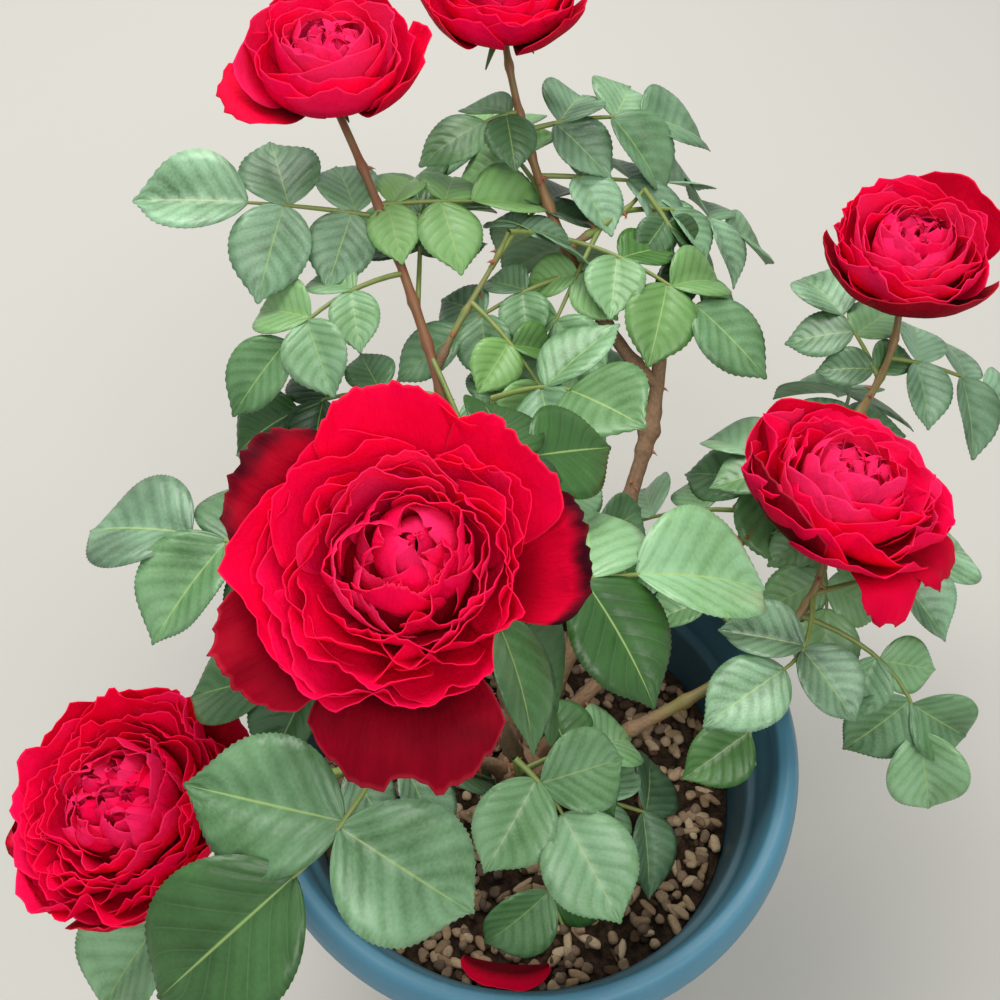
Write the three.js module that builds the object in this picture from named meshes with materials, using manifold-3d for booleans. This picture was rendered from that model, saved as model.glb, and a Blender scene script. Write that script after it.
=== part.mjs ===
// A rose bush with six large double blooms, growing in a round plastic pot.
// Millimetres, +Z up. The origin is the middle of the pot's flat underside, and -Y is the front.
import * as THREE from "three";
import { mergeVertices } from "three/addons/utils/BufferGeometryUtils.js";
import Module from "manifold-3d";

const wasm = await Module();
wasm.setup();

// Pot: a tapered tub with a rolled rim
const POT_HEIGHT = 250;
const POT_FOOT_RADIUS = 92;
const POT_RIM_RADIUS = 135;
const POT_MOUTH_RADIUS = 121;
const POT_FLOOR = 8;
const POT_WALL = 4;
const RIM_DEPTH = 30; // height of the rolled rim
const LEDGE_DROP = 36; // from the rim's top down to the inner ledge
const ROUND_STEPS = 36; // flats round the pot and the mix

// Potting mix and what stands on it
const SOIL_LEVEL = 180;
const CLEARANCE = 0.35; // between pieces that touch
const FINEST = 0.12; // detail below this is smoothed away
const STUMP_RADIUS = 14;
const STUMP_HEIGHT = 30;
const STUMP_BRANCHING = 18.6; // height above the mix at which its stems start

// Stems are faceted limbs
const STEM_SIDES = 6;
const STEM_STEPS = 7;
const KNUCKLE_GROWTH = 1.75; // of the cane's radius

// Stems, leaves and blooms
const SHOOT_ANGLE = 137.5; // turn from one leaf to the next up a stem
const LEAFLET_WIDTH = 0.78; // of a leaflet's length
const LEAFLET_THICKNESS = 1.5;
const LEAFLET_FOLD = 0.1; // rise of the edges above the midrib, of the length
const LEAFLET_CURL = 0.13; // fall of the tip, of the length
const STALK_RADIUS = 1.1;
const STALK_SIDES = 3;
const STALK_STEPS = 3;
const PAIR_SLOPE = 10; // degrees that the leaflets of a pair fall away
const PAIR_GAP = 0.56; // from pair to pair along a stalk, of the end leaflet's length
const END_GAP = 0.34; // from the last pair to the end leaflet's root, of its length
const LAST_PAIR = 0.86; // length of the last pair's leaflets, of the end leaflet's
const FIRST_PAIR = 0.7;
const HIP_RADIUS = 5.2;
const PETAL_THICKNESS = 1.6;
const PETAL_CORNER = 0.16; // how far a petal's corners fall short of its middle, of its length
const PETAL_ROOT = 0.55; // width near the root, of the full width
const BEND = 0.02; // step that finds a petal's outward direction

const COLOURS = {
  pot: [0x3e738a, 0.45],
  mix: [0x4a3a2c, 0.95],
  bark: [0x6b5038, 0.85],
  leaf: [0x3f6b3a, 0.5],
  petal: [0xc4071f, 0.55],
};
const materials = Object.fromEntries(
  Object.entries(COLOURS).map(([name, [color, roughness]]) => [
    name,
    new THREE.MeshStandardMaterial({ color, roughness, metalness: 0 }),
  ]),
);

const radians = THREE.MathUtils.degToRad;
const mix = THREE.MathUtils.lerp;

// A repeatable number from 0 to 1 for a seed and a count.
function chance(seed, count) {
  const wave = Math.sin(count * 12.9898 + seed * 4.1414) * 43758.5453;
  return wave - Math.floor(wave);
}

// A unit vector from a heading, which turns from +X towards +Y, and a rise above level, in degrees.
function direction(heading, rise) {
  const flat = Math.cos(radians(rise));
  return new THREE.Vector3(
    flat * Math.cos(radians(heading)),
    flat * Math.sin(radians(heading)),
    Math.sin(radians(rise)),
  );
}

// Closed geometry to a solid, and a solid to geometry
function solidOf(geometry) {
  const bare = new THREE.BufferGeometry()
    .setIndex(geometry.index)
    .setAttribute("position", geometry.getAttribute("position"));
  const merged = mergeVertices(bare, 1e-4);
  const corners = merged.index.array;
  const faces = [];
  for (let i = 0; i < corners.length; i += 3) {
    const [a, b, c] = corners.slice(i, i + 3);
    if (a !== b && b !== c && c !== a) faces.push(a, b, c);
  }
  return new wasm.Manifold(
    new wasm.Mesh({
      numProp: 3,
      vertProperties: merged.getAttribute("position").array,
      triVerts: new Uint32Array(faces),
    }),
  );
}

function geometryOf(solid) {
  const made = solid.getMesh();
  return new THREE.BufferGeometry()
    .setAttribute("position", new THREE.BufferAttribute(made.vertProperties, 3))
    .setIndex(new THREE.BufferAttribute(made.triVerts, 1));
}

// The fused parts of one piece as its largest body, so that no loose scrap is left.
function fused(parts) {
  const bodies = wasm.Manifold.union(parts).simplify(FINEST).decompose();
  return bodies.sort((a, b) => b.volume() - a.volume())[0];
}

function turned(profile, steps) {
  const points = profile.map(([radius, height]) => new THREE.Vector2(radius, height));
  return solidOf(new THREE.LatheGeometry(points, steps).rotateX(Math.PI / 2));
}

// A tapering limb along a stretch of a curve: a cylinder that is bent to it.
function limb(curve, from, to, radiusFrom, radiusTo, sides, steps) {
  const tube = new THREE.CylinderGeometry(1, 1, 1, sides, steps);
  const place = tube.getAttribute("position");
  let across = new THREE.Vector3(1, 0, 0);
  const rings = [];
  for (let i = 0; i <= steps; i++) {
    const t = mix(from, to, i / steps);
    const along = curve.getTangentAt(t);
    across = across.clone().addScaledVector(along, -across.dot(along)).normalize();
    rings.push({
      centre: curve.getPointAt(t),
      across,
      behind: across.clone().cross(along),
      radius: mix(radiusFrom, radiusTo, i / steps),
    });
  }
  for (let i = 0; i < place.count; i++) {
    const ring = rings[Math.round((place.getY(i) + 0.5) * steps)];
    const point = ring.centre
      .clone()
      .addScaledVector(ring.across, place.getX(i) * ring.radius)
      .addScaledVector(ring.behind, place.getZ(i) * ring.radius);
    place.setXYZ(i, ...point);
  }
  return solidOf(tube);
}

// POT AND POTTING MIX
const innerWall = (height) =>
  mix(
    POT_FOOT_RADIUS - POT_WALL + 1,
    POT_MOUTH_RADIUS - 8,
    (height - POT_FLOOR) / (POT_HEIGHT - LEDGE_DROP - POT_FLOOR),
  );

function potSolid() {
  const top = POT_HEIGHT;
  const rim = POT_RIM_RADIUS;
  const mouth = POT_MOUTH_RADIUS;
  return turned(
    [
      [0, 0],
      [POT_FOOT_RADIUS, 0],
      [POT_FOOT_RADIUS + 3, 3],
      [rim - 19, top - RIM_DEPTH - 14],
      [rim - 13, top - RIM_DEPTH - 1],
      [rim - 3, top - RIM_DEPTH + 3],
      [rim, top - RIM_DEPTH + 12],
      [rim - 1, top - 9],
      [rim - 4, top - 2],
      [rim - 7, top],
      [mouth + 2, top - 2],
      [mouth, top - 9],
      [mouth - 3, top - LEDGE_DROP + 2],
      [mouth - 8, top - LEDGE_DROP],
      [innerWall(POT_FLOOR), POT_FLOOR],
      [0, POT_FLOOR],
    ],
    ROUND_STEPS,
  );
}

function mixSolid() {
  const floor = POT_FLOOR + CLEARANCE;
  return turned(
    [
      [0, floor],
      [innerWall(floor) - CLEARANCE, floor],
      [innerWall(SOIL_LEVEL) - CLEARANCE, SOIL_LEVEL],
      [0, SOIL_LEVEL],
    ],
    ROUND_STEPS,
  );
}

// STEMS
// The stump is the knobbly crown that every stem springs from, flared where it meets the mix.
function stumpSolid(grow) {
  const foot = SOIL_LEVEL + CLEARANCE;
  const r = STUMP_RADIUS + grow;
  return turned(
    [
      [0, foot - grow],
      [r * 1.5, foot - grow],
      [r * 1.12, foot + STUMP_HEIGHT * 0.14],
      [r * 0.94, foot + STUMP_HEIGHT * 0.36],
      [r * 1.04, foot + STUMP_HEIGHT * 0.66],
      [r * 0.82, foot + STUMP_HEIGHT * 0.88 + grow],
      [r * 0.4, foot + STUMP_HEIGHT + grow],
      [0, foot + STUMP_HEIGHT + grow],
    ],
    12,
  );
}

// A stem runs from its foot, on the stump or on another stem, in the direction that it sets out in, to its
// tip, in the direction that it arrives in. heading and reach give a place round the pot's axis.
function stemCurve({ foot, lift, tip, arrive }) {
  const start = foot.on
    ? curves.get(foot.on).getPointAt(foot.at)
    : direction(foot.heading, 0).multiplyScalar(foot.radius).setZ(SOIL_LEVEL + STUMP_BRANCHING);
  const end = direction(tip.heading, 0).multiplyScalar(tip.reach);
  end.z = tip.height;
  return new THREE.CubicBezierCurve3(
    start,
    start.clone().addScaledVector(direction(lift.heading, lift.rise), lift.length),
    end.clone().addScaledVector(direction(arrive.heading, arrive.rise), -arrive.length),
    end,
  );
}

// Each stem: a bare cane up to the joint, a share of its length, and a leafy shoot from there to its tip.
// thick gives the radius at the foot, at the joint and at the tip.
const STEMS = {
  main: {
    foot: { heading: 240, radius: 2 },
    lift: { heading: 235, rise: 82, length: 90 },
    tip: { heading: 230.2, reach: 62.5, height: 457 },
    arrive: { heading: 262, rise: 74, length: 70 },
    thick: [4.4, 3.6, 2.8],
    joint: 0.5,
  },
  left: {
    foot: { heading: 195, radius: 8 },
    lift: { heading: 185, rise: 62, length: 75 },
    tip: { heading: 200.6, reach: 171, height: 284 },
    arrive: { heading: 208, rise: 30, length: 50 },
    thick: [3.8, 3, 2.5],
    joint: 0.34,
  },
  right: {
    foot: { heading: 335, radius: 8 },
    lift: { heading: 0, rise: 55, length: 84 },
    tip: { heading: 27.6, reach: 163, height: 308 },
    arrive: { heading: 106, rise: 44, length: 60 },
    thick: [3.8, 3.1, 2.5],
    joint: 0.36,
  },
  upper_right: {
    foot: { heading: 25, radius: 8 },
    lift: { heading: 42, rise: 62, length: 130 },
    tip: { heading: 48.1, reach: 313, height: 322 },
    arrive: { heading: 112, rise: 58, length: 100 },
    thick: [4, 3.2, 2.4],
    joint: 0.42,
  },
  upper_left: {
    foot: { heading: 125, radius: 8 },
    lift: { heading: 97, rise: 48, length: 110 },
    tip: { heading: 109.4, reach: 296, height: 405 },
    arrive: { heading: 122, rise: 36, length: 110 },
    thick: [4.4, 3.4, 2.6],
    joint: 0.42,
  },
  old: {
    foot: { heading: 72, radius: 8 },
    lift: { heading: 62, rise: 52, length: 70 },
    tip: { heading: 68.1, reach: 193.5, height: 322 },
    arrive: { heading: 92, rise: 52, length: 60 },
    thick: [4.8, 3.7, 3.7],
    joint: 1,
    knuckle: 0.82,
  },
  front: {
    foot: { heading: 290, radius: 8 },
    lift: { heading: 285, rise: 60, length: 40 },
    tip: { heading: 262, reach: 40, height: 304 },
    arrive: { heading: 250, rise: 84, length: 45 },
    thick: [3, 2.4, 1.6],
    joint: 0.24,
  },
  top: {
    foot: { on: "old", at: 0.93 },
    lift: { heading: 150, rise: 20, length: 40 },
    tip: { heading: 91.8, reach: 322, height: 419 },
    arrive: { heading: 104, rise: 52, length: 75 },
    thick: [3.6, 3.2, 2.3],
    joint: 0.28,
  },
  side: {
    foot: { on: "top", at: 0.42 },
    lift: { heading: 20, rise: 40, length: 22 },
    tip: { heading: 76, reach: 273, height: 361 },
    arrive: { heading: 50, rise: 30, length: 20 },
    thick: [2.2, 2, 1.3],
    joint: 0.2,
  },
  middle: {
    foot: { on: "upper_left", at: 0.58 },
    lift: { heading: 60, rise: 45, length: 30 },
    tip: { heading: 92, reach: 218, height: 372 },
    arrive: { heading: 50, rise: 55, length: 25 },
    thick: [2.2, 2, 1.3],
    joint: 0.2,
  },
  behind: {
    foot: { on: "old", at: 0.4 },
    lift: { heading: 130, rise: 60, length: 40 },
    tip: { heading: 97, reach: 130, height: 345 },
    arrive: { heading: 100, rise: 70, length: 40 },
    thick: [2.6, 2.2, 1.4],
    joint: 0.25,
  },
};

// The knobbly ring where an old cane was pruned and grew on.
function knuckleSolid(centre, radius) {
  const knob = new THREE.SphereGeometry(radius * KNUCKLE_GROWTH, 8, 5);
  return solidOf(knob.translate(...centre));
}

const group = new THREE.Group();
const solids = new Map();
const curves = new Map();

function add(name, solid, material) {
  const piece = new THREE.Mesh(geometryOf(solid), materials[material]);
  piece.name = name;
  group.add(piece);
  solids.set(name, solid);
}

// LEAVES
// One leaflet: a thin blade with six corners, folded along its midrib. Its root is sunk in its stalk.
function leafletSolid({ root, forward, normal, length }) {
  const side = new THREE.Vector3().crossVectors(normal, forward);
  const half = (length * LEAFLET_WIDTH) / 2;
  const fold = length * LEAFLET_FOLD;
  // Root, widest point, shoulder and tip, as lengths along, across and up
  const outline = [
    [0, 0, 0],
    [length * 0.27, -half * 0.94, fold],
    [length * 0.68, -half * 0.84, fold * 0.5],
    [length, 0, -length * LEAFLET_CURL],
    [length * 0.68, half * 0.84, fold * 0.5],
    [length * 0.27, half * 0.94, fold],
  ];
  const middle = length * 0.42;
  const points = [
    ...outline,
    [middle, 0, LEAFLET_THICKNESS / 2],
    [middle, 0, -LEAFLET_THICKNESS / 2],
  ].map(([along, across, up]) =>
    root
      .clone()
      .addScaledVector(forward, along)
      .addScaledVector(side, across)
      .addScaledVector(normal, up),
  );
  const count = outline.length;
  const faces = outline.flatMap((_, i) => {
    const next = (i + 1) % count;
    return [i, next, count, next, i, count + 1];
  });
  return solidOf(new THREE.BufferGeometry().setFromPoints(points).setIndex(faces));
}

// A compound leaf: a drooping stalk with leaflets in pairs and one at its end.
// It gives the stalk's path and the place and frame of each leaflet.
function compoundLeaf({ start, heading, sweep, rise, droop, stalk, size, leaflets, roll, spread }) {
  const pairs = (leaflets - 1) / 2;
  const gap = size * PAIR_GAP;
  const run = stalk + gap * (pairs - 1) + size * END_GAP;
  const step = run / STALK_STEPS;
  const way = (length) => direction(heading + sweep * (length / run) ** 2, rise - (droop * length) / run);
  const path = new THREE.CurvePath();
  for (let i = 0, from = start; i < STALK_STEPS; i++) {
    const to = from.clone().addScaledVector(way((i + 0.5) * step), step);
    path.add(new THREE.LineCurve3(from, to));
    from = to;
  }
  const frameAt = (length) => {
    const forward = way(length);
    const normal = new THREE.Vector3(0, 0, 1).addScaledVector(forward, -forward.z).normalize();
    normal.applyAxisAngle(forward, radians(roll));
    return { root: path.getPointAt(length / run), forward, normal };
  };
  const blades = [];
  for (let pair = 0; pair < pairs; pair++) {
    const share = pair === pairs - 1 ? LAST_PAIR : FIRST_PAIR;
    for (const [hand, angle] of [[1, spread[0]], [-1, spread[1]]]) {
      const { root, forward, normal } = frameAt(stalk + gap * pair + hand * STALK_RADIUS);
      const out = forward.clone().applyAxisAngle(normal, radians(hand * angle));
      const tilt = new THREE.Vector3().crossVectors(out, normal);
      const slope = radians(-PAIR_SLOPE);
      blades.push({
        root,
        forward: out.applyAxisAngle(tilt, slope),
        normal: normal.applyAxisAngle(tilt, slope),
        length: size * share,
      });
    }
  }
  blades.push({ ...frameAt(run - STALK_RADIUS), length: size });
  return { path, blades };
}

// The leaves of one shoot. Each grows a set turn round from the last, and set names the ones that are placed.
function shootLeaves(curve, { count, from, to, size, first, rise, seed, set = {} }) {
  return Array.from({ length: count }, (_, i) => {
    const grown = {
      at: mix(from, to, i / (count - 1)),
      heading: first + SHOOT_ANGLE * i + 30 * (chance(seed, i) - 0.5),
      rise: rise + 24 * (chance(seed, i + 20) - 0.5),
      stalk: size * (0.55 + 0.25 * chance(seed, i + 40)),
      size: size * (0.86 + 0.26 * chance(seed, i + 60)),
      leaflets: i === count - 1 ? 3 : 5,
      droop: 30 + 16 * chance(seed, i + 80),
      sweep: 30 * (chance(seed, i + 120) - 0.5),
      roll: 24 * (chance(seed, i + 100) - 0.5),
      spread: [66, 66],
      ...set[i],
    };
    return compoundLeaf({ ...grown, start: curve.getPointAt(grown.at) });
  });
}

const SHOOTS = {
  main: {
    count: 6, from: 0.56, to: 0.93, size: 52, first: 200, rise: 10, seed: 3,
    set: {
      0: {
        at: 0.66, heading: 185, rise: 8, droop: 30, sweep: -9, stalk: 55, size: 49, leaflets: 3,
        spread: [58, 70],
      },
      1: {
        at: 0.83, heading: 155, rise: 14, droop: 28, sweep: 6, stalk: 54, size: 54, roll: 0,
        spread: [70, 70],
      },
      2: {
        at: 0.84, heading: 257, rise: 5, droop: 28, sweep: -42, stalk: 77, size: 67, roll: -20,
        leaflets: 3, spread: [93, 66],
      },
      3: {
        at: 0.89, heading: 20, rise: -3, droop: 12, sweep: -9, stalk: 60, size: 62, roll: 1,
        leaflets: 3, spread: [68, 67],
      },
      4: {
        at: 0.92, heading: 28, rise: -22, droop: 45, sweep: -49, stalk: 32, size: 63, roll: -13,
        leaflets: 3, spread: [70, 70],
      },
      5: {
        at: 0.97, heading: 72, rise: 11, droop: 38, sweep: -40, stalk: 65, size: 47, roll: 25,
        spread: [52, 70],
      },
    },
  },
  left: {
    count: 4, from: 0.42, to: 0.88, size: 48, first: 120, rise: 10, seed: 7,
    set: {
      1: {
        at: 0.71, heading: 230, rise: -2, droop: 24, sweep: -6, stalk: 52, size: 59, roll: 0,
        leaflets: 3,
      },
      3: { leaflets: 3 },
    },
  },
  right: {
    count: 7, from: 0.44, to: 0.94, size: 48, first: 60, rise: 6, seed: 11,
    set: {
      0: { at: 0.46, heading: 2, rise: 0, stalk: 30, size: 44, leaflets: 3 },
      1: { at: 0.58, heading: 285, rise: -8, stalk: 30, size: 46, leaflets: 3 },
      2: {
        at: 0.85, heading: 260, rise: 5, droop: 9, sweep: -49, stalk: 32, size: 48, roll: -3,
        leaflets: 3, spread: [70, 79],
      },
      3: {
        at: 0.79, heading: 337, rise: 0, droop: 48, sweep: -50, stalk: 43, size: 49, roll: 23,
        spread: [32, 71],
      },
      4: {
        at: 0.85, heading: 13, rise: 10, droop: 27, sweep: 19, stalk: 45, size: 50, roll: 8,
        leaflets: 3,
      },
      5: {
        at: 0.98, heading: 101, rise: 12, droop: 32, sweep: 29, stalk: 46, size: 45, roll: 3,
        leaflets: 3,
      },
      6: { at: 0.66, heading: 130, rise: 12, stalk: 36, size: 46, leaflets: 5 },
    },
  },
  upper_right: {
    count: 7, from: 0.46, to: 0.9, size: 52, first: 20, rise: 8, seed: 13,
    set: {
      5: {
        at: 0.84, heading: 108, rise: 20, droop: 23, sweep: 2, stalk: 6, size: 46, roll: -5,
        leaflets: 5,
      },
      6: {
        at: 0.88, heading: 357, rise: -7, droop: 30, sweep: 8, stalk: 17, size: 56, roll: 8,
        leaflets: 5, spread: [78, 67],
      },
    },
  },
  upper_left: {
    count: 7, from: 0.48, to: 0.86, size: 52, first: 30, rise: 6, seed: 17,
    set: {
      5: {
        at: 0.82, heading: 180, rise: 13, droop: 12, sweep: -4, stalk: 15, size: 62, roll: -15,
        leaflets: 5, spread: [78, 71],
      },
      6: {
        at: 0.84, heading: 6, rise: 4, droop: 20, sweep: 15, stalk: 6, size: 50, roll: 5,
        leaflets: 5, spread: [68, 82],
      },
    },
  },
  top: {
    count: 6, from: 0.36, to: 0.84, size: 50, first: 200, rise: 8, seed: 23,
    set: {
      3: {
        at: 0.63, heading: 6, rise: -3, droop: 27, sweep: 37, stalk: 23, size: 56, roll: 3,
        leaflets: 5,
      },
      4: {
        at: 0.75, heading: 19, rise: 6, droop: 30, sweep: 9, stalk: 19, size: 61, roll: 12,
        leaflets: 5, spread: [47, 59],
      },
      5: {
        at: 0.8, heading: 207, rise: 12, droop: 21, sweep: 2, stalk: 7, size: 43, roll: 0,
        leaflets: 3, spread: [72, 66],
      },
    },
  },
  side: {
    count: 3, from: 0.4, to: 1, size: 46, first: 250, rise: 0, seed: 29,
    set: {
      2: {
        heading: 306, rise: -18, droop: 30, stalk: 22, size: 42, roll: -13, leaflets: 5,
        spread: [40, 66],
      },
    },
  },
  middle: {
    count: 3, from: 0.5, to: 1, size: 46, first: 300, rise: 0, seed: 31,
    set: {
      2: { heading: 43, rise: -29, droop: 31, sweep: 11, stalk: 24, size: 55, roll: -20, leaflets: 5 },
    },
  },
  behind: {
    count: 4, from: 0.5, to: 1, size: 48, first: 200, rise: 4, seed: 37,
    set: {
      2: { at: 0.8, heading: 165, rise: 6, droop: 30, stalk: 18, size: 50, leaflets: 3 },
      3: { heading: 350, rise: 33, droop: 2, sweep: -49, stalk: 30, size: 57, roll: 17, leaflets: 3 },
    },
  },
  front: {
    count: 4, from: 0.5, to: 1, size: 46, first: 10, rise: 4, seed: 19,
    set: {
      1: {
        at: 0.62, heading: 282, rise: -24, droop: 19, sweep: 21, stalk: 52, size: 48, roll: 1,
        leaflets: 3, spread: [70, 64],
      },
      2: { at: 0.8, heading: 30, rise: 0, stalk: 26, size: 44, leaflets: 3 },
      3: {
        at: 1, heading: 322, rise: -22, droop: 0, sweep: -22, stalk: 14, size: 53, roll: 9,
        leaflets: 3, spread: [62, 73],
      },
    },
  },
};

// A shoot: its stem, the hip under its bloom, and its leaves. What would touch another piece is left out.
function shootSolid(name, curve, stem, leaves, others) {
  const start = stem.joint + CLEARANCE / curve.getLength();
  const body = [limb(curve, start, 1, stem.thick[1], stem.thick[2], STEM_SIDES, STEM_STEPS)];
  if (BLOOMS[name]) {
    const hip = new THREE.SphereGeometry(HIP_RADIUS, 7, 5).translate(...curve.getPointAt(1));
    body.push(solidOf(hip));
  }
  const clear = (part) => others.every((other) => part.minGap(other, 2 * CLEARANCE) >= CLEARANCE);
  for (const leaf of leaves) {
    const stalk = limb(leaf.path, 0, 1, STALK_RADIUS * 1.25, STALK_RADIUS, STALK_SIDES, STALK_STEPS);
    if (!clear(stalk)) continue;
    const blades = leaf.blades.map(leafletSolid).filter(clear);
    if (blades.length) body.push(stalk, ...blades);
  }
  return fused(body);
}

// BLOOMS
// A petal is a curved slab. Its profile runs out from the bloom's axis and up, and its width is an arc round
// the axis. u runs across it from -1 to 1 and v along it from 0 to 1.
function petalPoint({ turn, wide, profile }, u, v) {
  const along = v * (1 - PETAL_CORNER * Math.abs(u) ** 3);
  const line = new THREE.CubicBezierCurve(...profile.map((point) => new THREE.Vector2(...point)));
  const spot = line.getPoint(along);
  const fullness = mix(PETAL_ROOT, 1, Math.sin(Math.PI * (0.2 + along * 0.6)));
  const angle = radians(turn + (wide / 2) * u * fullness);
  return new THREE.Vector3(spot.x * Math.cos(angle), spot.x * Math.sin(angle), spot.y);
}

// The direction that a petal's outer side faces, from its slopes across and along.
function petalOutward(petal, u, v) {
  const left = petalPoint(petal, Math.max(u - BEND, -1), v);
  const right = petalPoint(petal, Math.min(u + BEND, 1), v);
  const lower = petalPoint(petal, u, Math.max(v - BEND, 0));
  const upper = petalPoint(petal, u, Math.min(v + BEND, 1));
  return right.sub(left).cross(upper.sub(lower)).normalize();
}

function petalSolid(petal, columns, rows) {
  const points = [];
  const faces = [];
  const at = (layer, i, j) => (layer * (columns + 1) + i) * (rows + 1) + j;
  for (const layer of [0, 1])
    for (let i = 0; i <= columns; i++)
      for (let j = 0; j <= rows; j++) {
        const [u, v] = [(2 * i) / columns - 1, j / rows];
        const aside = (layer - 0.5) * PETAL_THICKNESS;
        points.push(petalPoint(petal, u, v).addScaledVector(petalOutward(petal, u, v), aside));
      }
  const quad = (a, b, c, d) => faces.push(a, b, c, a, c, d);
  for (let i = 0; i < columns; i++)
    for (let j = 0; j < rows; j++) {
      quad(at(1, i, j), at(1, i + 1, j), at(1, i + 1, j + 1), at(1, i, j + 1));
      quad(at(0, i, j), at(0, i, j + 1), at(0, i + 1, j + 1), at(0, i + 1, j));
    }
  for (let i = 0; i < columns; i++) {
    quad(at(0, i, 0), at(0, i + 1, 0), at(1, i + 1, 0), at(1, i, 0));
    quad(at(0, i, rows), at(1, i, rows), at(1, i + 1, rows), at(0, i + 1, rows));
  }
  for (let j = 0; j < rows; j++) {
    quad(at(0, 0, j), at(1, 0, j), at(1, 0, j + 1), at(0, 0, j + 1));
    quad(at(0, columns, j), at(0, columns, j + 1), at(1, columns, j + 1), at(1, columns, j));
  }
  return solidOf(new THREE.BufferGeometry().setFromPoints(points).setIndex(faces));
}

const RINGS = [
  { count: 4, steps: 1, from: [0.16, 0.62], belly: [0.28, 0.66], shoulder: [0.3, 0.86], tip: [0.24, 0.94] },
  { count: 5, steps: 1, from: [0.4, 0.6], belly: [0.56, 0.66], shoulder: [0.6, 0.84], tip: [0.54, 0.92] },
  { count: 6, steps: 2, from: [0.5, 0.3], belly: [0.92, 0.3], shoulder: [1, 0.6], tip: [0.98, 0.8] },
];

// A full double bloom of radius r: a solid heart, rings of petals that stand round it, and guard petals that
// turn out and down. cup is 0 for a flat open bloom and 1 for a deep one.
function bloomSolid({ radius: r, cup, turn, inner, guards }) {
  const lift = (flat, deep) => mix(flat, deep, cup) * r;
  const heart = turned(
    [
      [0, 0],
      [5, 0],
      [0.4 * r, lift(0.12, 0.14)],
      [0.66 * r, lift(0.36, 0.4)],
      [0.64 * r, lift(0.62, 0.84)],
      [0.36 * r, lift(0.72, 0.9)],
      [0, lift(0.68, 0.82)],
    ],
    9,
  );
  const parts = [heart];
  RINGS.slice(inner ? 0 : 1).forEach(({ count, steps, from, belly, shoulder, tip }, ring) => {
    for (let i = 0; i < count; i++)
      parts.push(
        petalSolid(
          {
            turn: turn + (360 / count) * (i + 0.37 * ring),
            wide: (360 / count) * 0.97,
            profile: [from, belly, shoulder, tip].map(([out, up]) => [out * r, lift(up, up * 1.12)]),
          },
          2,
          steps,
        ),
      );
  });
  for (const { at, wide, reach, edge } of guards)
    parts.push(
      petalSolid(
        {
          turn: at,
          wide,
          profile: [
            [0.12 * r, 0.04 * r],
            [0.95 * r, 0],
            [1.1 * r, 0.55 * r],
            [reach * r, edge * r],
          ],
        },
        3,
        2,
      ),
    );
  return fused(parts);
}

// Each bloom sits on its stem's tip and leans towards its heading by lean degrees. A guard petal has a
// heading round the bloom, and a reach and a height of its edge that are shares of the bloom's radius.
const BLOOMS = {
  main: {
    radius: 46, cup: 0, turn: 20, heading: 270, lean: 18, inner: true,
    guards: [
      { at: 264, wide: 88, reach: 1.42, edge: 0.02 },
      { at: 215, wide: 60, reach: 1.42, edge: 0.36 },
      { at: 143, wide: 56, reach: 1.24, edge: 0.6 },
      { at: 100, wide: 60, reach: 1.2, edge: 0.72 },
      { at: 45, wide: 60, reach: 1.14, edge: 0.72 },
      { at: 11, wide: 50, reach: 1.22, edge: 0.64 },
    ],
  },
  left: {
    radius: 47, cup: 0.1, turn: 5, heading: 205, lean: 16,
    guards: [
      { at: 30, wide: 60, reach: 1.26, edge: 0.5 },
      { at: 120, wide: 66, reach: 1.08, edge: 0.6 },
      { at: 205, wide: 66, reach: 1.06, edge: 0.5 },
      { at: 280, wide: 66, reach: 1.03, edge: 0.6 },
    ],
  },
  right: {
    radius: 48, cup: 0.15, turn: 30, heading: 35, lean: 16,
    guards: [
      { at: 300, wide: 58, reach: 1.16, edge: -0.12 },
      { at: 335, wide: 50, reach: 1.2, edge: 0.1 },
      { at: 205, wide: 80, reach: 1, edge: 0.76 },
      { at: 100, wide: 90, reach: 1.1, edge: 0.7 },
    ],
  },
  upper_right: {
    radius: 44, cup: 0.5, turn: 12, heading: 250, lean: 6,
    guards: [
      { at: 270, wide: 90, reach: 1.05, edge: 0.8 },
      { at: 180, wide: 80, reach: 1.12, edge: 0.86 },
      { at: 40, wide: 90, reach: 1.1, edge: 0.8 },
    ],
  },
  upper_left: {
    radius: 43, cup: 0.9, turn: 40, heading: 275, lean: 4,
    guards: [
      { at: 208, wide: 62, reach: 1.36, edge: 0.34 },
      { at: 345, wide: 70, reach: 1.16, edge: 0.9 },
      { at: 90, wide: 90, reach: 1.12, edge: 0.8 },
    ],
  },
  top: {
    radius: 41, cup: 0.6, turn: 8, heading: 270, lean: 8,
    guards: [
      { at: 200, wide: 80, reach: 1.08, edge: 0.7 },
      { at: 320, wide: 80, reach: 1.1, edge: 0.66 },
      { at: 80, wide: 90, reach: 1.1, edge: 0.7 },
    ],
  },
};

// A petal that has dropped on the mix just inside the pot's front.
const FALLEN_PETAL = {
  turn: -95.6,
  wide: 27,
  profile: [
    [94, SOIL_LEVEL + 1.5],
    [99, SOIL_LEVEL + 1.1],
    [104, SOIL_LEVEL + 2.5],
    [107, SOIL_LEVEL + 9],
  ],
};

add("pot", potSolid(), "pot");
add("potting_mix", mixSolid(), "mix");
add("stump", stumpSolid(0), "bark");

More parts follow.
